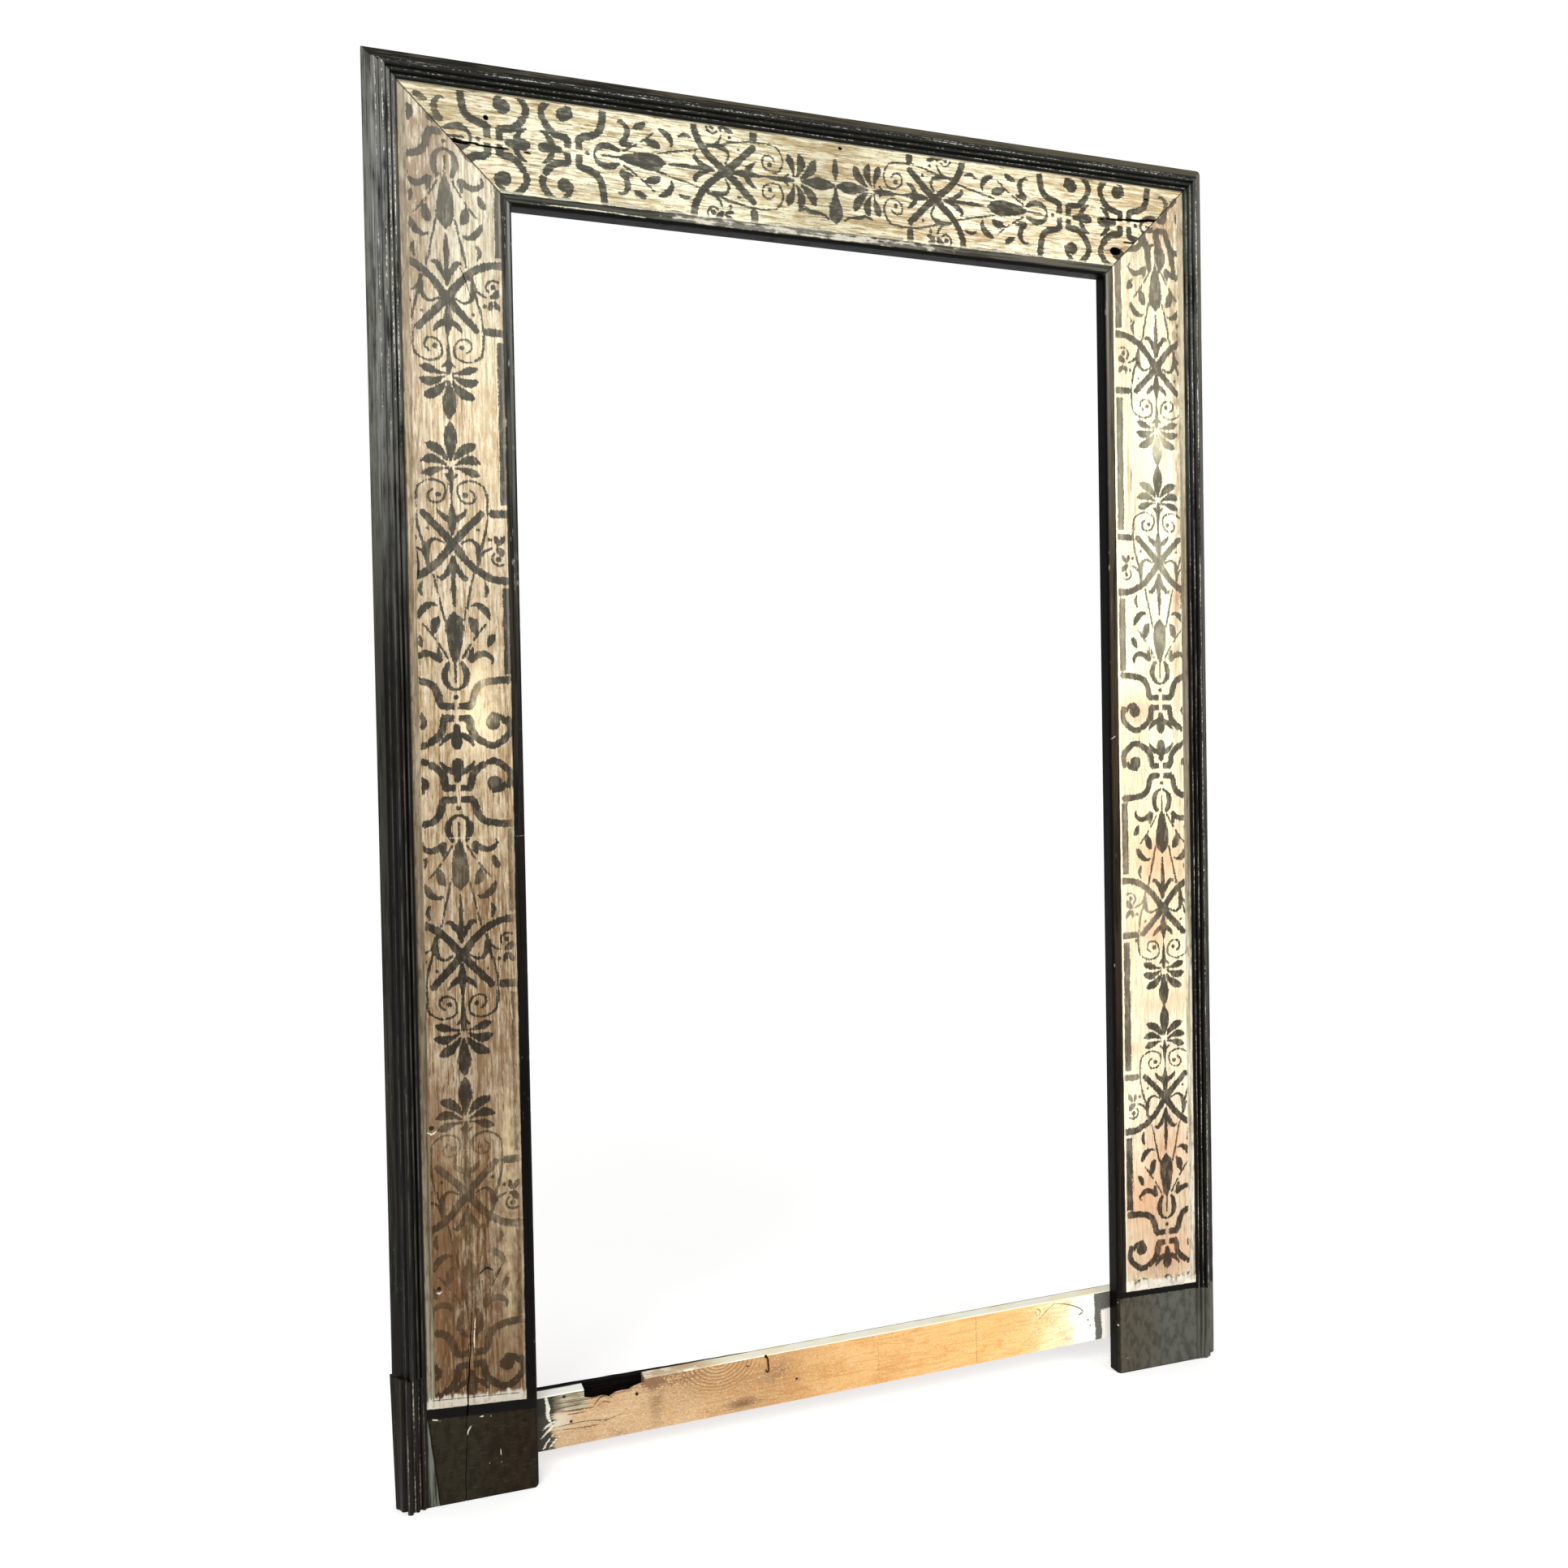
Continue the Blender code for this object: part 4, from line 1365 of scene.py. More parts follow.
@dataclass
class Moulding:
    """One length of the moulding, swept between two sections."""

    node: str
    finish: MouldingFinish
    hand: int = 1
    low_z: float = FLOOR_Z
    seed: int = 5
    cuts: tuple[int, ...] = (23, 23)
    low_section: MouldingSection = field(default_factory=MouldingSection)
    high_section: MouldingSection = field(default_factory=MouldingSection)
    high_z: float | None = None
    dents: int = 46
    worn_corner: bool = False
    foot_wear: float = 0.0
    corner_radius: float = 0.010
    corner_cuts: int = 5

    @property
    def edge(self) -> float:
        """Return the reach of the moulding's inner edge from the doorway's middle."""
        return HALF_OPENING + BOARD_WIDTH + JOINT_GAP

    def ends(self) -> tuple[list[Place], list[Place]]:
        """Return the section at the low end and at the mitre or joint above it."""
        low, high = [], []
        for out, proud in self.low_section.outline():
            low.append((self.hand * (self.edge + out), -BOARD_THICKNESS - proud, self.low_z))
        for out, proud in self.high_section.outline():
            top = self.high_z
            if top is None:
                top = SOFFIT_Z + BOARD_WIDTH + JOINT_GAP + out - MITRE_SETBACK
            high.append((self.hand * (self.edge + out), -BOARD_THICKNESS - proud, top))
        return low, high

    def layout(self, points: np.ndarray) -> tuple[np.ndarray, np.ndarray]:
        """Return places along the moulding and outwards across it, in millimetres."""
        along = (points[:, 2] - FLOOR_Z) / MILLIMETRE
        return along, (self.hand * points[:, 0] - self.edge) / MILLIMETRE

    def wear_corner(self, builder: bmesh.types.BMesh) -> None:
        """Cut the outer top right corner back to a round one with flat cuts."""
        reach = BOARD_WIDTH + JOINT_GAP + self.low_section.width - self.corner_radius
        centre = Vector((HALF_OPENING + reach, 0, SOFFIT_Z + reach))
        for cut in range(1, self.corner_cuts + 1):
            angle = math.pi / 2 * cut / (self.corner_cuts + 1)
            normal = Vector((math.cos(angle), 0, math.sin(angle)))
            result = bmesh.ops.bisect_plane(
                builder, geom=builder.verts[:] + builder.edges[:] + builder.faces[:],
                plane_co=centre + normal * self.corner_radius, plane_no=normal, clear_outer=True,
            )
            rim = [item for item in result["geom_cut"] if isinstance(item, bmesh.types.BMEdge)]
            if rim:
                bmesh.ops.contextual_create(builder, geom=rim)

    def dent_depth(self, along: np.ndarray, outward: np.ndarray) -> np.ndarray:
        """Return the depth of the small knocks and rubbed places, in millimetres."""
        draws = np.random.default_rng(self.seed)
        depth = np.zeros(len(along))
        for _ in range(self.dents):
            middle = draws.uniform(along.min(), along.max())
            spot = draws.choice((4.6, 12.1, 20.8, 31.0, 49.5))
            half = draws.uniform(3, 14)
            deep = draws.uniform(0.25, 0.9)
            bite = 1 - ((along - middle) / half) ** 2 - ((outward - spot) / 3.2) ** 2
            depth = np.maximum(depth, deep * np.clip(bite, 0, 1))
        return depth

    def shape(self) -> bpy.types.Mesh:
        """Build the mesh with its small waves, knocks and attributes."""
        start, end = self.ends()
        builder = swept_bar(start, end, self.finish.grain.axis, self.cuts)
        if self.worn_corner:
            self.wear_corner(builder)
            bmesh.ops.recalc_face_normals(builder, faces=builder.faces)
        mesh = as_mesh(builder)
        points = mesh_points(mesh)
        along, outward = self.layout(points)
        proud = -points[:, 1] - BOARD_THICKNESS
        shown = proud > -0.016
        press = 0.10 * (1 + smooth_noise(points, self.finish.grain.stretch(90, 12), self.seed))
        press += self.dent_depth(along, outward)
        if self.foot_wear:
            lost = self.foot_wear * np.clip(1 - along / 62.0, 0, 1) ** 0.8
            press += lost * np.clip(proud, 0, None) / MILLIMETRE
        points[:, 1] += np.where(shown, press, 0.0) * MILLIMETRE
        set_mesh_points(mesh, points)
        add_attributes(mesh, along=along, outward=outward)
        add_attributes(mesh, "FACE", side=np.where(face_normals(mesh)[:, 1] > 0.7, 1.0, 0.0))
        return mesh

    def make(self) -> bpy.types.Object:
        """Build, dress and install the moulding."""
        piece = finished(f"{self.node}_black", self.shape(), self.finish.dress(), 32)
        installed(piece, self.node)
        return piece


@dataclass
class HeadMoulding(Moulding):
    """The length of moulding over the head board, mitred at both ends."""

    def ends(self) -> tuple[list[Place], list[Place]]:
        """Return the section at the left mitre and at the right one."""
        left, right = [], []
        for out, proud in self.low_section.outline():
            reach = self.edge + out - MITRE_SETBACK
            z = SOFFIT_Z + BOARD_WIDTH + JOINT_GAP + out
            left.append((-reach, -BOARD_THICKNESS - proud, z))
            right.append((reach, -BOARD_THICKNESS - proud, z))
        return left, right

    def layout(self, points: np.ndarray) -> tuple[np.ndarray, np.ndarray]:
        """Return places along X and rises above the head board's top, in millimetres."""
        base = SOFFIT_Z + BOARD_WIDTH + JOINT_GAP
        return points[:, 0] / MILLIMETRE, (points[:, 2] - base) / MILLIMETRE


@dataclass(frozen=True)
class PineFinish:
    """Raw sawn pine with paint marks near its ends; the stops run along the board."""

    face: Stops
    start: float = -550.0
    length: float = 1100.0
    slot: str = "raw_pine"

    def dress(self) -> bpy.types.Material:
        """Build the pine's material from its along, up and depth attributes."""
        sheet = ShaderSheet(self.slot)
        along = sheet.attribute("along")
        up = sheet.attribute("up")
        inward = sheet.attribute("inward")
        share = (along - self.start) / self.length
        fibre = sheet.noise((14, 500, 700), 2.7, 4, 0.6)
        rings = sheet.noise((3.0, 40, 46), 8.2, 3, 0.5, 0.8)
        patch = sheet.noise((22, 30, 40), 4.4, 6, 0.6)
        fleck = sheet.noise((240, 300, 420), 5.9, 4, 0.6)
        colour = sheet.ramp(share, self.face)
        shade = sheet.shade(colour, 222, 192, 154)
        rough_part = share.fall(0.22, 0.5)
        waves = sheet.wave(rings * 50.0).rise(0.3, 1.0) * (0.42 - 0.22 * rough_part)
        colour = sheet.blend(waves, colour, shade)
        colour = sheet.blend(fibre.rise(0.50, 0.64) * 0.35, colour, shade)
        colour = sheet.blend(patch.fall(0.36, 0.5) * 0.4, colour, shade)
        colour = sheet.coat(colour, patch.rise(0.54, 0.64) * 0.12, 248, 222, 176)
        specks = fleck.rise(0.56, 0.66) * (0.35 + 0.35 * rough_part)
        colour = sheet.coat(colour, specks, 150, 112, 74)
        colour = sheet.coat(colour, fleck.fall(0.34, 0.44) * 0.3, 250, 232, 196)
        colour = self._knot_rings(sheet, colour, along, up, fibre)
        blotch = (patch * 0.6 + fleck * 0.4).rise(0.40, 0.56)
        stain = sheet.attribute("stain") * blotch
        colour = sheet.coat(colour, stain.at_most(0.8), 226, 156, 90)
        smudge = sheet.attribute("smudge") * blotch
        colour = sheet.coat(colour, smudge.at_most(0.85), 112, 78, 52)
        colour = self._left_end(sheet, colour, along, up, patch, fleck, fibre)
        colour = self._right_end(sheet, colour, along, up, patch, fleck)
        side = sheet.attribute("side")
        top = self._top(sheet, along, inward, patch)
        colour = sheet.blend(side.within(0.5, 1.5, 0.1), colour, top)
        broken = sheet.attribute("broken")
        torn = broken.rise(0.2, 0.8) * fibre.rise(0.42, 0.6)
        colour = sheet.coat(colour, torn * 0.8, 124, 84, 50)
        scar = (sheet.attribute("scar") + fleck.swing(2.0)).rise(-0.4, 0.4)
        colour = sheet.coat(colour, scar * 0.85, 58, 40, 24)
        marks = sheet.attribute("marks")
        colour = sheet.coat(colour, marks.rise(0.25, 0.75), 28, 18, 10)
        back = sheet.blend(fibre.rise(0.4, 0.6), swatch(188, 142, 92), swatch(214, 172, 120))
        colour = sheet.blend(side.rise(1.5, 1.6), colour, back)
        dull = 0.62 + patch.swing(0.3)
        return sheet.finish(colour, dull, fibre * 0.8 + fleck * 0.3, 0.0006, 0.25)

    def _knot_rings(
        self, sheet: ShaderSheet, colour: Signal, along: Signal, up: Signal, fibre: Signal,
    ) -> Signal:
        """Return the colour with arched growth rings under the top edge."""
        dx = (along + 232.0) / 62.0
        dz = (up - 98.0) / 46.0
        reach = sheet.add("ShaderNodeMath", {"operation": "SQRT"}, {0: dx * dx + dz * dz})
        lines = sheet.wave((reach + fibre * 0.06) * 50.0).rise(0.2, 0.9) * reach.fall(0.9, 1.5)
        return sheet.coat(colour, lines * 0.8, 138, 98, 60)

    def _top(self, sheet: ShaderSheet, along: Signal, inward: Signal, patch: Signal) -> Signal:
        """Return the colour of the top edge: pale, partly as painted light from above, with a
        painted shadow line at its back.
        """
        # Paler than the face: partly painted light falling on the top from above.
        pale = sheet.blend(patch.rise(0.4, 0.6), swatch(255, 253, 234), swatch(255, 244, 208))
        brown = (along + patch.swing(90.0)).fall(-280.0, -200.0) * patch.rise(0.36, 0.50)
        pale = sheet.coat(pale, brown * 0.8, 196, 160, 116)
        pale = sheet.coat(pale, along.fall(-468.0, -462.0), 255, 255, 244)
        # Painted shadow along the back of the top.
        rear_shadow_line = (inward + patch.swing(5.0)).rise(22.5, 25.0)
        return sheet.coat(pale, rear_shadow_line * 0.9, 66, 54, 40)

    def _left_end(
        self, sheet: ShaderSheet, colour: Signal, along: Signal, up: Signal, patch: Signal,
        fleck: Signal, fibre: Signal,
    ) -> Signal:
        """Return the colour with the weathered stub, the dark paint and the white smears."""
        edge = along + patch.swing(30.0) + fleck.swing(14.0)
        above = (up + patch.swing(10.0)).rise(58.0, 62.0)
        stub = edge.fall(-470.0, -456.0) * above
        weathered = sheet.blend(
            (fibre * 0.6 + patch * 0.5).rise(0.46, 0.62), swatch(190, 182, 154), swatch(84, 76, 56),
        )
        weathered = sheet.coat(weathered, edge.fall(-516.0, -500.0) * 0.7, 58, 58, 46)
        colour = sheet.blend(stub * 0.9, colour, weathered)
        hazy = edge.fall(-510.0, -478.0) * up.within(34.0, 58.0, 4.0)
        colour = sheet.coat(colour, hazy * 0.6, 216, 212, 188)
        painted = (edge + fibre.swing(40.0)).fall(-523.0, -516.0)
        colour = sheet.coat(colour, painted * 0.95, 34, 34, 26)
        smear = (sheet.attribute("smear") + fleck.swing(7.0) + patch.swing(4.0)).rise(-0.3, 0.7)
        return sheet.coat(colour, smear * 0.85, 236, 232, 214)

    def _right_end(
        self, sheet: ShaderSheet, colour: Signal, along: Signal, up: Signal, patch: Signal,
        fleck: Signal,
    ) -> Signal:
        """Return the colour with the white paint, the dark stripe and the grey top corner."""
        white = (along + patch.swing(70.0) + fleck.swing(30.0)).rise(462.0, 480.0)
        colour = sheet.coat(colour, white * 0.9, 250, 247, 236)
        edge = along + fleck.swing(9.0) + patch.swing(10.0)
        stripe = edge.within(517.0, 532.0, 1.2)
        corner = edge.rise(517.0, 519.0) * (up + patch.swing(24.0)).rise(56.0, 60.0)
        grey = sheet.blend(fleck.rise(0.5, 0.64) * 0.5, swatch(62, 62, 58), swatch(110, 110, 102))
        return sheet.blend(stripe.at_least(corner) * 0.93, colour, grey)


@dataclass
class Spreader:
    """The pine board across the feet, tilted a little, with its broken top edge."""

    finish: PineFinish
    node: str = "spreader"
    height: float = 0.0905
    thickness: float = 0.027
    lap: float = 0.090
    floor_gap: float = 0.0497
    rise: float = 0.0174
    backward_drop: float = 0.014
    broken_edge: tuple[Point, ...] = (
        (-0.4672, 0.0905), (-0.4670, 0.0778), (-0.4504, 0.0746), (-0.4381, 0.0760),
        (-0.4293, 0.0741), (-0.4258, 0.0708), (-0.4115, 0.0780), (-0.3883, 0.0778),
        (-0.3829, 0.0812), (-0.3721, 0.0838), (-0.3640, 0.0850), (-0.3635, 0.0905),
    )
    nail_holes: tuple[Place, ...] = (
        (-377.4, 65.5, 3.4), (-490.4, 40.4, 3.0), (-500.9, 84.0, 3.0), (-89.9, 38.2, 2.6),
        (-180.0, 77.0, 2.2),
    )
    stains: tuple[Patch, ...] = patches(
        (384, 18, 12, 16, 1.0), (414, 54, 22, 13, 0.9), (480, 80, 26, 7, 0.9),
        (392, 42, 12, 12, 0.7), (330, 60, 60, 30, 0.4), (455, 14, 12, 6, 0.8),
    )
    smudges: tuple[Patch, ...] = patches(
        (-350, 84, 24, 12, 1.5), (-300, 80, 36, 14, 1.2), (-190, 14, 34, 9, 0.9),
        (-410, 6, 16, 5, 0.5), (-92, 38, 8, 5, 0.6), (-270, 50, 90, 24, 0.22),
        (-150, 50, 60, 30, 0.3), (-345, 50, 12, 40, 0.5), (-120, 60, 26, 20, 0.4),
    )
    scars: tuple[Stroke, ...] = drawn(
        ((392, 57, 0.8), (410, 72, 1.0), (428, 84, 0.9)),
        ((430, 85, 0.8), (455, 80, 1.0), (480, 70, 1.1), (491, 60, 1.2), (483, 55, 1.5)),
        ((389, 74, 0.8), (394, 81, 1.0), (400, 75, 0.9), (394, 68, 0.8), (388, 76, 0.7)),
        ((-522, 36, 0.7), (-470, 37, 0.8), (-430, 33, 0.7), (-402, 38, 0.5)),
        ((-520, 30, 0.5), (-483, 28, 0.8), (-453, 27, 0.7), (-425, 33, 0.5)),
        ((-506, 60, 0.7), (-480, 58.5, 1.3), (-452, 58, 0.7)),
        ((-500, 54, 0.5), (-480, 53, 1.0), (-464, 53, 0.6)),
        ((-524, 66, 0.6), (-490, 67, 1.1), (-466, 68, 0.6)),
        ((-450, 62, 0.7), (-440, 72, 1.3), (-428, 73, 1.0), (-420, 68, 0.6)),
        ((-446, 58, 0.5), (-434, 64, 0.9), (-422, 60, 0.5)),
        Stroke(((67.5, 3, 0.35), (67.5, 88, 0.35)), False),
        Stroke(((316.6, 2, 0.7), (316.6, 88, 0.7)), False),
        Stroke(((264.0, 3, 0.35), (264.0, 88, 0.35)), False),
        Stroke(((-298, 82, 0.7), (-296, 90, 1.5)), False),
        dot(502, 42, 2.2), dot(507, 30, 1.8), dot(498, 50, 1.4), dot(511, 46, 1.2),
    )
    smears: tuple[Stroke, ...] = drawn(
        ((-531, 88, 2.5), (-528, 72, 3.6), (-529, 58, 3.0), (-525, 48, 1.4)),
        ((-538, 36, 0.8), (-528, 42, 2.0), (-518, 46, 1.2)),
        ((-541, 22, 0.8), (-532, 30, 1.8), (-522, 38, 1.0)),
        ((-538, 4, 2.0), (-531, 14, 1.6), (-520, 26, 1.0)),
        ((-528, 4, 1.2), (-518, 14, 1.6), (-510, 20, 0.6)),
    )
    cuts: tuple[int, ...] = (27, 27)

    def section(self) -> list[Point]:
        """Return the section as (depth, up): face, top, back and underside."""
        round_off = 0.0012
        face = [(0.0, round_off + (self.height - 2 * round_off) * step / 64) for step in range(65)]
        top = [(round_off + (self.thickness - 2 * round_off) * step / 9, self.height)
               for step in range(10)]
        back = [(self.thickness, self.height - round_off - (self.height - 2 * round_off) * step / 8)
                for step in range(9)]
        under = [(self.thickness - round_off - (self.thickness - 2 * round_off) * step / 4, 0.0)
                 for step in range(5)]
        return face + top + back + under

    def top_at(self, along: np.ndarray, depth: np.ndarray) -> np.ndarray:
        """Return the height of the top edge, which drops backwards where it is broken."""
        edge = np.array(self.broken_edge)
        level = np.interp(along, edge[:, 0], edge[:, 1])
        drop = self.backward_drop * depth / self.thickness
        return np.where(level < self.height - 1e-6, level - drop, self.height)

    def shape(self) -> bpy.types.Mesh:
        """Build the mesh with its broken edge, splinters, nail holes and attributes."""
        half = HALF_OPENING + self.lap
        ring = self.section()
        builder = swept_bar(
            [(-half, depth, up) for depth, up in ring], [(half, depth, up) for depth, up in ring],
            0, self.cuts,
        )
        mesh = as_mesh(builder)
        points = mesh_points(mesh)
        points[:, 0] = self._spread_columns(points[:, 0], half)
        along, depth = points[:, 0].copy(), points[:, 1].copy()
        top = self.top_at(along, depth)
        broken = top < self.height - 1e-6
        splinter = smooth_noise(points, (420, 60, 0), 4.0) * 0.0016
        splinter += smooth_noise(points, (1300, 90, 0), 9.0) * 0.0009
        top = np.where(broken, top - np.abs(splinter), top)
        share = points[:, 2] / self.height
        points[:, 2] = share * top
        up = points[:, 2].copy()
        face = depth < 1e-5
        marks = np.zeros(len(points))
        for x, z, radius in self.nail_holes:
            reach = np.hypot(along / MILLIMETRE - x, up / MILLIMETRE - z)
            marks = np.maximum(marks, np.clip(1.35 - reach / radius, 0, 1))
        marks = np.where(face, marks, 0)
        points[:, 1] += 0.0022 * marks
        points[:, 1] += np.where(face, 0.00018 * (1 + smooth_noise(points, (9, 0, 120), 2.0)), 0)
        place = self.placement()
        turn = np.array(place.to_3x3())
        set_mesh_points(mesh, points @ turn.T + np.array(place.translation))
        along, up = along / MILLIMETRE, up / MILLIMETRE
        add_attributes(
            mesh, along=along, up=up, inward=depth / MILLIMETRE, marks=marks,
            stain=patch_sum(self.stains, along, up), smudge=patch_sum(self.smudges, along, up),
            scar=np.where(face, stroke_depth(self.scars, along, up), -STENCIL_REACH),
            smear=np.where(face, stroke_depth(self.smears, along, up), -STENCIL_REACH),
            broken=np.where(broken & (share > 0.93), 1.0, 0.0),
        )
        normals = face_normals(mesh)
        side = np.where(normals[:, 2] > 0.6, EDGE, np.where(normals[:, 1] > 0.5, BARE, FRONT))
        add_attributes(mesh, "FACE", side=side)
        return mesh

    def placement(self) -> Matrix:
        """Return the board's place: behind the jambs, tilted up to the right."""
        tilt = math.atan2(self.rise, 2 * HALF_OPENING)
        place = Matrix.Translation((0, JOINT_GAP, FLOOR_Z + self.floor_gap))
        return place @ Matrix.Rotation(-tilt, 4, "Y")

    def _spread_columns(self, along: np.ndarray, half: float) -> np.ndarray:
        """Return the columns' places with many of them gathered at the broken edge."""
        low, high = self.broken_edge[0][0] - 0.001, self.broken_edge[-1][0] + 0.001
        return np.interp(along, (-half, -0.42, 0.0, half), (-half, low, high, half))

    def make(self) -> bpy.types.Object:
        """Build, dress and install the spreader."""
        piece = finished("spreader_pine", self.shape(), self.finish.dress(), 30)
        installed(piece, self.node)
        return piece


@dataclass
class BentNail:
    """The hooked nail left in the spreader's face, as (along, up, out) in millimetres."""

    material: bpy.types.Material
    place: Matrix
    radius: float = 1.5
    path: tuple[Place, ...] = (
        (-146.2, 88.4, -2.0), (-145.6, 88.0, 2.2), (-144.2, 86.6, 2.6), (-142.9, 83.0, 1.2),
        (-142.6, 79.0, 0.6), (-142.6, 74.0, 1.6), (-142.2, 69.0, 2.6), (-142.4, 64.5, 3.0),
        (-144.4, 61.6, 3.2), (-146.8, 62.6, 3.4), (-147.6, 66.4, 3.2),
    )
    sides: int = 10
    smooth_rounds: int = 2

    def make(self) -> bpy.types.Object:
        """Sweep a circle down the path, close its ends and install the nail."""
        spine = [Vector(spot) * MILLIMETRE for spot in self.path]
        for _ in range(self.smooth_rounds):
            finer = [spine[0]]
            for start, end in zip(spine, spine[1:]):
                finer += [start.lerp(end, 0.25), start.lerp(end, 0.75)]
            spine = [*finer, spine[-1]]
        builder = bmesh.new()
        loop = bmesh.ops.create_circle(builder, segments=self.sides, radius=1.0, cap_ends=True)
        rim = loop["verts"]
        for index, spot in enumerate(spine):
            if index:
                edges = [edge for edge in builder.edges if all(v in rim for v in edge.verts)]
                grown = bmesh.ops.extrude_edge_only(builder, edges=edges)["geom"]
                rim = [item for item in grown if isinstance(item, bmesh.types.BMVert)]
            ahead = spine[min(index + 1, len(spine) - 1)] - spine[max(index - 1, 0)]
            turn = ahead.to_track_quat("Z", "X").to_matrix()
            head = 1.7 if index < 5 else 1.0 - 0.35 * index / len(spine)
            for step, vert in enumerate(rim):
                angle = 2 * math.pi * step / self.sides
                ring = Vector((math.cos(angle), math.sin(angle), 0))
                ring = ring * self.radius * head * MILLIMETRE
                local = spot + turn @ ring
                vert.co = self.place @ Vector((local.x, -local.z, local.y))
        bmesh.ops.contextual_create(
            builder, geom=[edge for edge in builder.edges if edge.is_boundary],
        )
        bmesh.ops.recalc_face_normals(builder, faces=builder.faces)
        piece = finished("bent_nail", as_mesh(builder), self.material, 50)
        installed(piece, None)
        return piece


@dataclass(frozen=True)
class StripFinish:
    """Near-black softwood with dark brown patches."""

    slot: str = "dark_strip"

    def dress(self) -> bpy.types.Material:
        """Build the strip's material."""
        sheet = ShaderSheet(self.slot)
        fibre = sheet.noise((16, 400, 600), 3.3, 4, 0.6)
        patch = sheet.noise((30, 50, 60), 7.7, 5, 0.6)
        colour = sheet.blend(fibre.rise(0.42, 0.62), swatch(7, 6, 5), swatch(18, 14, 11))
        colour = sheet.coat(colour, patch.rise(0.58, 0.7) * 0.4, 44, 36, 27)
        return sheet.finish(colour, 0.7 + patch.swing(0.2), fibre, 0.0006, 0.05)


@dataclass
class BackingStrip:
    """The thin level strip fixed to the back of the spreader."""

    finish: StripFinish
    node: str = "spreader_strip"
    cuts: tuple[int, ...] = (15, 11)

    def make(self) -> bpy.types.Object:
        """Build, dress and install the strip, from its node's own box."""
        low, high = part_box(self.node)
        size = high - low
        ring = []
        parts = 6
        corners = ((0, 0), (0, 1), (1, 1), (1, 0))
        for corner, after in zip(corners, corners[1:] + corners[:1]):
            for step in range(parts):
                share = step / parts
                y = low.y + size.y * (corner[0] + (after[0] - corner[0]) * share)
                z = low.z + size.z * (corner[1] + (after[1] - corner[1]) * share)
                ring.append((y, z))
        builder = swept_bar(
            [(low.x, y, z) for y, z in ring], [(high.x, y, z) for y, z in ring], 0, self.cuts,
        )
        mesh = as_mesh(builder)
        points = mesh_points(mesh)
        top = (points[:, 2] - low.z) / size.z
        rough = 0.0006 * (1 + smooth_noise(points, (40, 30, 30), 6.0))
        points[:, 2] -= np.where(top > 0.99, rough, 0.0)
        points[:, 1] += np.where(points[:, 1] < low.y + 1e-5, rough * 0.4, 0.0)
        set_mesh_points(mesh, points)
        piece = finished("strip_dark", mesh, self.finish.dress(), 30)
        installed(piece, self.node)
        return piece


@dataclass(frozen=True)
class StudioCamera:
    """The photograph's viewpoint, in the part's frame."""

    place: Place = (-0.85294, -2.20204, -0.98540)
    yaw: float = 0.33168
    pitch: float = -0.01899
    roll: float = -0.01816
    lens: float = 30.495
    sensor: float = 36.0

    def make(self) -> bpy.types.Object:
        """Create the camera and make it the scene's own."""
        forward = Vector((
            math.sin(self.yaw) * math.cos(self.pitch), math.cos(self.yaw) * math.cos(self.pitch),
            math.sin(self.pitch),
        ))
        level_right = Vector((math.cos(self.yaw), -math.sin(self.yaw), 0))
        level_up = level_right.cross(forward)
        cosine, sine = math.cos(self.roll), math.sin(self.roll)
        right = level_right * cosine + level_up * sine
        upward = level_up * cosine - level_right * sine
        turn = Matrix((right, upward, -forward)).transposed().to_4x4()
        data = bpy.data.cameras.new("camera")
        data.lens = self.lens
        data.sensor_fit = "HORIZONTAL"
        data.sensor_width = self.sensor
        camera = bpy.data.objects.new("camera", data)
        camera.matrix_world = Matrix.Translation(self.place) @ turn
        bpy.context.scene.collection.objects.link(camera)
        bpy.context.scene.camera = camera
        return camera


@dataclass(frozen=True)
class SoftBox:
    """One large soft light, aimed at a point of the surround."""

    name: str
    place: Place
    aim: Place
    width: float
    height: float
    power: float

    def make(self) -> bpy.types.Object:
        """Create the light."""
        data = bpy.data.lights.new(self.name, "AREA")
        data.shape = "RECTANGLE"
        data.size = self.width
        data.size_y = self.height
        data.energy = self.power
        light = bpy.data.objects.new(self.name, data)
        aim = Vector(self.aim) - Vector(self.place)
        light.rotation_euler = aim.to_track_quat("-Z", "Y").to_euler()
        light.location = self.place
        bpy.context.scene.collection.objects.link(light)
        return light


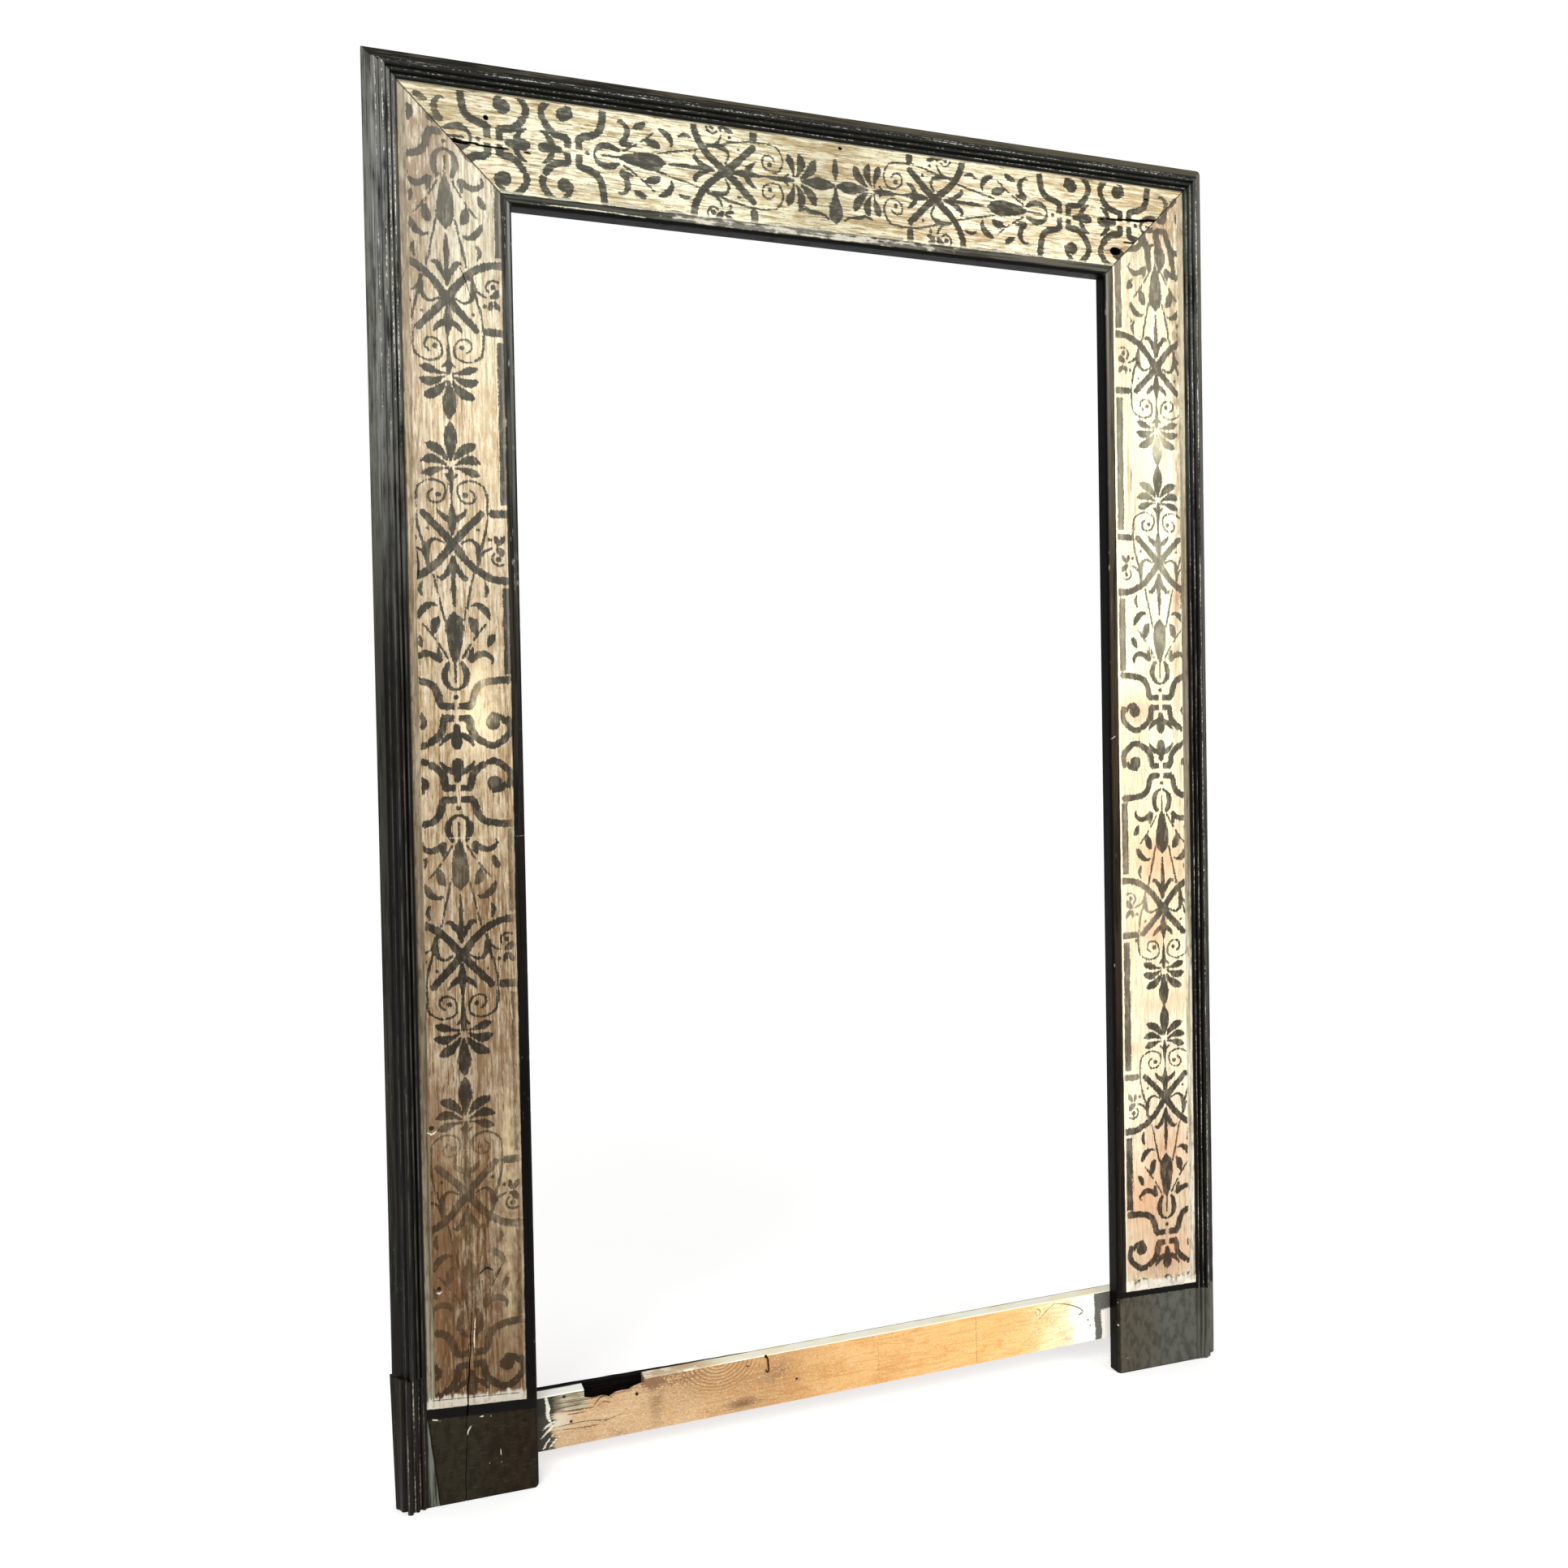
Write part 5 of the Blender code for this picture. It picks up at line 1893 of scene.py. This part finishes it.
@dataclass(frozen=True)
class Studio:
    """The pale floor, the soft lights and the white surroundings."""

    boxes: tuple[SoftBox, ...]
    floor_half: float = 30.0
    ambient: float = 0.52

    def make(self) -> None:
        """Build the floor, the lights and the world."""
        builder = bmesh.new()
        bmesh.ops.create_grid(
            builder, x_segments=4, y_segments=4, size=self.floor_half,
            matrix=Matrix.Translation((0, 0, FLOOR_Z - 0.0002)),
        )
        sheet = ShaderSheet("pale_floor")
        cloud = sheet.noise((1.5, 1.5, 1.5), 1.0, 3)
        colour = sheet.blend(cloud, swatch(250, 250, 249), swatch(246, 246, 246))
        reach = sheet.add(
            "ShaderNodeVectorMath", {"operation": "LENGTH"}, {0: sheet.coords}, "Value",
        )
        glow = sheet.blend(reach.rise(2.2, 5.0), (0.36, 0.36, 0.36, 1.0), (0.6, 0.6, 0.6, 1.0))
        sheet.feed(sheet.shader.inputs["Emission Color"], glow)
        sheet.feed(sheet.shader.inputs["Emission Strength"], 1.0)
        pale = sheet.finish(colour, 0.7 + cloud.swing(0.1), cloud, 0.0002)
        floor = finished("floor", as_mesh(builder), pale, 30)
        for box in self.boxes:
            box.make()
        world = bpy.data.worlds.new("studio")
        world.use_nodes = True
        bpy.context.scene.world = world
        tree = world.node_tree
        backdrop = tree.nodes["Background"]
        backdrop.inputs["Color"].default_value = (1.0, 1.0, 1.0, 1.0)
        path = tree.nodes.new("ShaderNodeLightPath")
        strength = tree.nodes.new("ShaderNodeMix")
        strength.inputs[2].default_value = self.ambient
        strength.inputs[3].default_value = 1.0
        tree.links.new(path.outputs["Is Camera Ray"], strength.inputs[0])
        tree.links.new(strength.outputs[0], backdrop.inputs["Strength"])
        bpy.context.scene.view_settings.view_transform = "Standard"


def left_jamb() -> JambBoard:
    """Return the left jamb: the browner board, with a split up from the floor."""
    finish = BoardFinish(
        slot="stencilled_jamb_left",
        grain=Grain.ALONG_Z,
        # The ground, stencil and border grow lighter upwards: brown stain low down, and painted
        # sheen of the light above on the upper part.
        ground=stops(
            (0.06, 116, 92, 66), (0.14, 101, 76, 51),
            (0.22, 128, 106, 80), (0.33, 144, 124, 98),
            (0.44, 155, 136, 108), (0.55, 178, 159, 128),
            (0.66, 187, 172, 146), (0.77, 211, 197, 167),
            (0.90, 196, 190, 168),
        ),
        stencil=stops(
            (0.08, 54, 42, 28), (0.22, 44, 37, 26), (0.35, 36, 33, 27),
            (0.55, 44, 43, 38), (0.75, 70, 69, 62), (0.92, 88, 86, 78),
        ),
        border=stops(
            (0.0, 10, 8, 6), (0.25, 6, 5, 3), (0.44, 18, 17, 12),
            (0.66, 50, 49, 43), (0.88, 77, 78, 72),
        ),
        outer_strip=stops(
            (0.1, 140, 136, 116), (0.3, 110, 100, 82), (0.5, 152, 140, 120),
            (0.7, 180, 166, 144), (0.9, 132, 121, 106),
        ),
        strip_width=13.0,
        stain=swatch(106, 78, 52),
        grime=swatch(136, 117, 98),
        plinth=swatch(38, 30, 19),
        plinth_outer=swatch(42, 37, 26),
        plinth_edge=swatch(104, 110, 97),
        foot_tilt=0.06,
        foot_levels=(130.3, 147.5, 160.0),
        foot_pale=0.55,
        primer=0.1,
        coverage=0.572,
        grime_low=1.25,
        grime_high=0.6,
        fibre=swatch(96, 72, 46),
    )
    registration = Registration(
        centreline=104.4,
        axes=(
            (98, 65), (163, 0), (495, 328), (684, 523), (880, 328), (1201.4, 0), (1535, 328),
            (1730, 523), (1924.6, 328), (2261, 0),
        ),
        field_from=17.0,
        field_to=160.5,
        strap_half=5.6,
        band_half=5.2,
    )
    return JambBoard(
        node="jamb_board_left",
        finish=finish,
        registration=registration,
        splits=(
            Split((-3.0, 118.0), (150.0, 113.0), 0.35, 2.0),
            Split((140.0, 112.5), (300.0, 102.0), 0.8, 6.0),
        ),
        fades=patches(
            (400, 90, 90, 60, 0.75), (300, 110, 70, 70, 0.5), (560, 130, 60, 40, 0.6),
            (2120, 80, 90, 80, 0.12), (1290, 62, 46, 16, 0.9), (1000, 100, 40, 60, 0.3),
            (560, 70, 40, 40, 0.5), (1010, 20, 90, 9, 1.0), (690, 20, 160, 9, 1.1),
            (360, 20, 90, 9, 0.9),
        ),
        stains=patches(
            (300, 150, 160, 22, 0.9), (480, 150, 120, 20, 0.6), (230, 60, 60, 40, 0.5),
            (640, 150, 60, 16, 0.5), (1500, 158, 60, 10, 0.6),
        ),
        sheen_and_wear_patches=patches(
            (2025, 6, 80, 6, 0.5), (1700, 7, 220, 5, 0.35), (1290, 68, 60, 20, 1.0),
            (1240, 76, 34, 28, 0.8), (560, 40, 110, 16, 0.4), (1700, 50, 260, 22, 0.3),
            (330, 42, 120, 14, 0.35), (1050, 90, 40, 50, 0.25),
        ),
        grimes=patches(
            (2190, 120, 80, 44, 0.8), (2080, 140, 110, 34, 0.85), (1900, 156, 240, 20, 0.7),
            (1640, 150, 60, 22, 0.7), (960, 140, 60, 30, 0.4), (1985, 30, 60, 16, 0.35),
            (700, 60, 80, 50, 0.3),
        ),
        scars=drawn(
            ((140, 172.9, 1.4), (81, 166, 1.5), (53, 162.5, 1.4), (4, 158, 1.0)),
            ((171, 166, 0.8), (166, 100, 0.7), (160.5, 28, 0.7)),
            ((1478, 160, 1.2), (1500, 158, 1.8), (1524, 160, 0.8)),
            ((376, 51, 0.8), (358, 60, 1.0), (341, 71, 0.6)),
            dot(607, 158, 4.2), dot(349, 152, 3.4), dot(114, 21.9, 2.6),
            ((366, 66, 1.0), (372, 77, 2.2), (364, 88, 1.2)),
            ((1985, 88, 0.5), (1960, 78, 1.0), (1925, 66, 0.4)),
            ((300, 102, 0.5), (350, 100, 0.6), (420, 103, 0.3)),
            ((690, 46, 0.4), (650, 44, 0.8), (600, 47, 0.4)),
        ),
        scratches=drawn(
            ((1067, 60, 0.3), (1067, 100, 0.7), (1068, 136, 0.3)),
            Stroke(((1067, 2, 0.4), (1067, 17, 0.4)), False),
            ((601, 151, 0.8), (597, 158, 1.5), (601, 165, 0.8)),
            ((344, 147, 0.6), (341, 152, 1.3), (344, 158, 0.6)),
            ((140.5, 168, 0.8), (138.5, 160, 1.1), (136.6, 155, 0.6)),
            ((121, 106, 0.6), (114, 111, 1.0), (106, 113, 0.4)),
            Stroke(((132, 94, 0.6), (132.5, 88, 1.0)), False), dot(130.8, 76.0, 1.2),
            Stroke(((78, 61.7, 0.5), (64, 60.3, 0.5)), False), dot(54, 79, 0.7), dot(106, 60, 0.6),
            Stroke(((54, 60, 0.5), (50, 60, 0.6)), False),
            ((300, 96, 0.4), (262, 99, 1.0), (230, 98, 0.4)),
        ),
        seed=1,
        hand=-1,
        corner_radius=0.008,
    )


def right_jamb() -> JambBoard:
    """Return the right jamb: the pale board, with peach stains."""
    finish = BoardFinish(
        slot="stencilled_jamb_right",
        grain=Grain.ALONG_Z,
        ground=stops(
            (0.06, 222, 204, 176), (0.13, 208, 188, 156),
            (0.22, 249, 238, 208), (0.33, 242, 229, 195),
            (0.44, 240, 224, 184), (0.55, 255, 249, 214),
            (0.77, 254, 250, 216), (0.90, 246, 237, 202),
        ),
        stencil=stops(
            (0.08, 52, 43, 32), (0.22, 52, 47, 38), (0.45, 66, 60, 50),
            (0.60, 82, 77, 64), (0.90, 92, 86, 74),
        ),
        border=stops(
            (0.0, 36, 30, 21), (0.22, 38, 31, 22), (0.44, 50, 41, 27),
            (0.66, 58, 50, 34), (0.88, 94, 88, 72),
        ),
        outer_strip=stops(
            (0.07, 226, 221, 208), (0.3, 226, 219, 200), (0.42, 146, 141, 127),
            (0.6, 102, 97, 87), (0.75, 160, 146, 125), (0.92, 164, 149, 126),
        ),
        strip_width=14.0,
        stain=swatch(214, 138, 90),
        grime=swatch(150, 126, 98),
        plinth=swatch(82, 77, 66),
        plinth_outer=swatch(86, 87, 80),
        foot_tilt=-0.02,
        foot_levels=(143.0, 154.5, 170.0),
        primer=0.55,
        coverage=0.60,
        grime_low=0.5,
        grime_high=0.26,
        fibre=swatch(150, 122, 86),
    )
    registration = Registration(
        centreline=110.7,
        axes=(
            (117, 65), (182.4, 0), (517.6, 328), (697, 523), (884, 328), (1213.4, 0),
            (1543.6, 328), (1729.9, 523), (1916.1, 328), (2252, 0),
        ),
        field_from=20.0,
        field_to=160.0,
        strap_half=5.6,
        band_half=6.4,
        extras=drawn(
            dot(825, -59.7, 3.2),
            ((2168, -62, 7.0), (2160, -30, 7.0), (2140, -18, 7.0), (2102, -13, 5.0)),
            ((2172, 2, 6.0), (2147, 7, 7.5), (2119, 12, 8.0), (2098, 8, 3.0)),
            ((2167, 26, 4.0), (2146, 33, 5.5), (2109, 40, 5.0), (2086, 46, 2.0)),
        ),
    )
    return JambBoard(
        node="jamb_board_right",
        finish=finish,
        registration=registration,
        fades=patches(
            (2080, 70, 60, 60, 0.2), (880, 60, 60, 30, 0.5), (540, 40, 50, 20, 0.4),
            (1400, 120, 40, 40, 0.3), (1500, 29, 500, 6, 0.35), (800, 29, 300, 6, 0.15),
            (1770, 112, 30, 20, 0.6), (1690, 80, 30, 16, 0.5),
            (1543, 110, 60, 50, 0.3), (1800, 112, 60, 30, 0.3),
        ),
        stains=patches(
            (1945, 36, 26, 22, 0.5), (1265, 60, 30, 50, 0.7), (980, 100, 50, 50, 0.7),
            (430, 120, 60, 50, 0.6), (330, 60, 50, 50, 0.7), (215, 110, 40, 60, 0.7),
            (840, 90, 30, 40, 0.5), (700, 100, 20, 60, 0.4), (620, 40, 20, 20, 0.5),
            (1700, 46, 100, 4, 0.9), (1640, 60, 80, 3.5, 0.7), (1480, 150, 50, 9, 0.9),
            (1760, 128, 50, 4, 0.5), (1330, 146, 60, 6, 0.5), (2190, 120, 40, 24, 0.6),
        ),
        sheen_and_wear_patches=patches((1990, 6, 100, 6, 0.4), (1500, 6, 200, 5, 0.3)),
        grimes=patches(
            (2200, 134, 60, 50, 1.1), (2110, 66, 70, 30, 0.6), (2020, 150, 130, 14, 0.9),
            (2000, 56, 60, 18, 0.55), (1860, 155, 120, 10, 0.8), (1880, 36, 50, 20, 0.4),
            (1650, 156, 160, 9, 0.7), (1430, 150, 160, 12, 0.5), (1100, 150, 200, 12, 0.4),
            (1180, 60, 90, 40, 0.35), (480, 110, 140, 50, 0.3), (190, 90, 26, 80, 0.6),
        ),
        scars=drawn(
            ((1740, 52, 0.6), (1705, 52, 1.2), (1668, 50, 0.4)),
            ((2075, 52, 0.6), (2068, 60, 1.6), (2060, 56, 0.6)),
            ((2010, 48, 0.6), (2002, 58, 1.6), (1996, 54, 0.6)),
            ((1930, 60, 0.6), (1922, 68, 1.4), (1926, 76, 0.6)),
            dot(1972, 76, 1.6), dot(1990, 84, 1.2), dot(1890, 66, 1.3), dot(1240, 80, 1.2),
        ),
        scratches=drawn(
            dot(92, 1.5, 1.6), dot(136, 1.0, 1.0), dot(46.6, 125, 0.8),
            Stroke(((92.6, 42, 0.4), (92.6, 52, 0.5)), False),
            Stroke(((63, 134, 0.4), (63.5, 146, 0.4)), False),
            Stroke(((28, 14, 0.5), (26, 28, 0.5)), False),
            Stroke(((1210, 2, 0.8), (1216, 10, 0.8)), False),
            ((2110, 40, 0.6), (2118, 60, 1.0), (2112, 74, 0.4)),
        ),
        seed=2,
        hand=1,
    )


def head_board() -> HeadBoard:
    """Return the head board, with its two splits and the lost knot."""
    finish = BoardFinish(
        slot="stencilled_head",
        grain=Grain.ALONG_X,
        ground=stops(
            (0.0, 208, 204, 179), (0.2, 221, 218, 191), (0.4, 223, 220, 192),
            (0.5, 192, 188, 161), (0.62, 230, 225, 196), (0.7, 237, 231, 202), (1.0, 231, 221, 187),
        ),
        stencil=stops((0.0, 60, 62, 56), (0.5, 62, 61, 54), (1.0, 50, 47, 38)),
        border=stops(
            (0.0, 62, 64, 57), (0.25, 74, 75, 67), (0.38, 108, 107, 97),
            (0.5, 106, 104, 93),
            (0.65, 92, 90, 80), (1.0, 76, 73, 62),
        ),
        stain=swatch(160, 118, 78),
        grime=swatch(150, 132, 92),
        coverage=0.61,
        grime_low=1.05,
        grime_high=0.95,
        fibre=swatch(112, 96, 66),
        length=1450.0,
        start=-725.0,
        arris_highlight_rise=0.1,
        arris_black=6.5,
    )
    drops = drawn(
        ((10.2, -3, 1.5), (10.2, -20, 5), (10.2, -45, 13), (10.2, -56, 8), (10.2, -64, 1.5)),
        ((10.2, 12, 1.5), (10.2, 26, 5.5), (10.2, 38, 4), (10.2, 45, 1.5)),
        ((-58, -50, 1.5), (-46, -46, 3.0), (-36, -50, 3.2), (-14, -52, 2.4), (-4, -58, 1.5)),
        ((78, -50, 1.5), (66, -46, 3.0), (56, -50, 3.2), (38, -52, 2.4), (26, -58, 1.5)),
    )
    registration = Registration(
        centreline=98.5,
        axes=(
            (-840, 328), (-512, 0), (-191.2, 328), (10.2, 523), (200.3, 328), (529.6, 0),
            (858, 328),
        ),
        field_from=18.5,
        field_to=171.0,
        strap_half=5.8,
        extras=drops,
    )
    return HeadBoard(
        node="head_board",
        finish=finish,
        registration=registration,
        splits=(
            Split((-642.0, 92.0), (-600.0, 90.0), 2.6, 9.0),
            Split((-612.0, 90.5), (-500.0, 86.5), 0.9, 6.0),
            Split((663.0, 112.0), (535.0, 102.5), 2.1, 9.0),
            Split((596.0, 65.0), (615.0, 65.5), 1.0, 5.0),
            Split((672.0, 152.0), (612.0, 150.0), 0.7, 4.0),
        ),
        knots=(
            Knot(574.0, 46.0, 11.0, 7.0, 15.0), Knot(-588.0, 134.0, 3.8, 3.8, 7.0),
            Knot(20.0, 165.0, 3.4, 2.6, 5.0),
        ),
        fades=patches((-690, 100, 40, 60, 0.4), (700, 120, 40, 50, 0.4)),
        stains=patches((576, 46, 34, 18, 0.8), (-600, 40, 60, 24, 0.4), (60, 120, 80, 30, 0.3)),
        sheen_and_wear_patches=patches(
            (40, 10, 110, 10, 0.9), (-230, 10, 90, 10, 1.0), (-100, 10, 60, 9, 0.8),
            (200, 10, 60, 8, 0.75),
        ),
        grimes=patches(
            (-660, 130, 50, 40, 0.6), (680, 140, 50, 36, 0.7), (0, 160, 160, 14, 0.4),
            (600, 52, 40, 20, 0.5), (-480, 30, 120, 14, 0.4), (330, 160, 160, 12, 0.5),
            (-100, 70, 120, 40, 0.35), (120, 40, 100, 20, 0.3),
        ),
        scars=drawn(
            ((-204, 171, 0.6), (-194, 172, 2.6), (-182, 171, 0.8)),
            ((-640, 96, 0.8), (-622, 90, 1.2), (-604, 92, 0.5)),
            ((560, 47, 0.6), (552, 45, 1.0), (590, 52, 1.0), (600, 50, 0.4)),
            ((-505, 32, 0.3), (-470, 36, 0.7), (-436, 34, 0.3)),
            ((-330, 120, 0.3), (-290, 116, 0.7), (-262, 118, 0.3)),
            ((250, 126, 0.3), (300, 122, 0.6), (352, 124, 0.3)),
        ),
        scratches=drawn(
            ((556, 56, 0.8), (574, 59, 1.4), (592, 56, 0.6)),
            ((-520, 6, 0.6), (-420, 7, 1.0), (-330, 5, 0.5)),
        ),
        seed=3,
        cuts=(24, 27),
        chips=22,
    )


def mouldings() -> list[Moulding]:
    """Return the four lengths of moulding."""
    foot_low = MouldingSection(width=0.0495, groove=0.0036)
    foot_high = MouldingSection(width=0.0545, groove=0.0036)
    foot_height = 0.212
    return [
        Moulding(
            node="moulding_left",
            finish=MouldingFinish(
                "left_moulding_paint", Grain.ALONG_Z, black=swatch(18, 16, 11),
                rib=swatch(82, 80, 68), band=swatch(60, 60, 50), painted_gleam=0.8, wear=0.62,
                painted_gleam_from=0.74, grey=swatch(142, 143, 136), grey_from=0.56,
            ),
            hand=-1, low_z=FLOOR_Z + foot_height + JOINT_GAP, seed=11,
        ),
        Moulding(
            node="moulding_left_foot",
            finish=MouldingFinish(
                "left_foot_paint", Grain.ALONG_Z, black=swatch(24, 18, 12),
                rib=swatch(104, 98, 76), band=swatch(66, 60, 44), painted_gleam=0.45, wear=0.75,
                painted_gleam_to=0.1,
            ),
            hand=-1, low_z=FLOOR_Z, high_z=FLOOR_Z + foot_height, seed=12, cuts=(7, 7), dents=8,
            low_section=foot_low, high_section=foot_high,
        ),
        Moulding(
            node="moulding_right",
            finish=MouldingFinish(
                "right_moulding_paint", Grain.ALONG_Z, black=swatch(12, 11, 8),
                rib=swatch(112, 110, 94), band=swatch(92, 88, 76), painted_gleam=0.7, wear=0.75,
                foot=swatch(84, 84, 76), foot_top=141.0, grey=swatch(92, 97, 92), grey_from=0.62,
            ),
            hand=1, low_z=FLOOR_Z, seed=13, worn_corner=True, foot_wear=0.75,
        ),
        HeadMoulding(
            node="moulding_head",
            finish=MouldingFinish(
                "head_moulding_paint", Grain.ALONG_X, black=swatch(22, 22, 18),
                rib=swatch(54, 52, 44), band=swatch(84, 78, 62), painted_gleam=0.6, wear=0.8,
                start=-776.0, length=1552.0,
            ),
            seed=14, cuts=(19, 19), worn_corner=True,
        ),
    ]


def main() -> None:
    """Build the whole scene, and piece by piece."""
    StudioCamera().make()
    for board in (left_jamb(), right_jamb(), head_board()):
        board.make()
    for moulding in mouldings():
        moulding.make()
    spreader = Spreader(PineFinish(face=stops(
        (0.0, 194, 166, 130), (0.2, 197, 164, 122), (0.4, 200, 157, 105),
        (0.5, 220, 174, 112), (0.75, 240, 190, 120), (0.83, 246, 204, 136),
        (0.87, 255, 238, 182), (1.0, 255, 250, 232),
    )))
    spreader.make()
    strip = BackingStrip(StripFinish()).make()
    BentNail(strip.data.materials[0], spreader.placement()).make()
    Studio(boxes=(
        SoftBox("key", (-2.6, -4.2, 1.4), (0.0, 0.0, -0.9), 3.0, 3.0, 165.0),
        SoftBox("fill", (3.0, -4.0, 0.2), (0.0, 0.0, -1.0), 2.6, 3.0, 80.0),
    )).make()


if __name__ == "__main__":
    main()
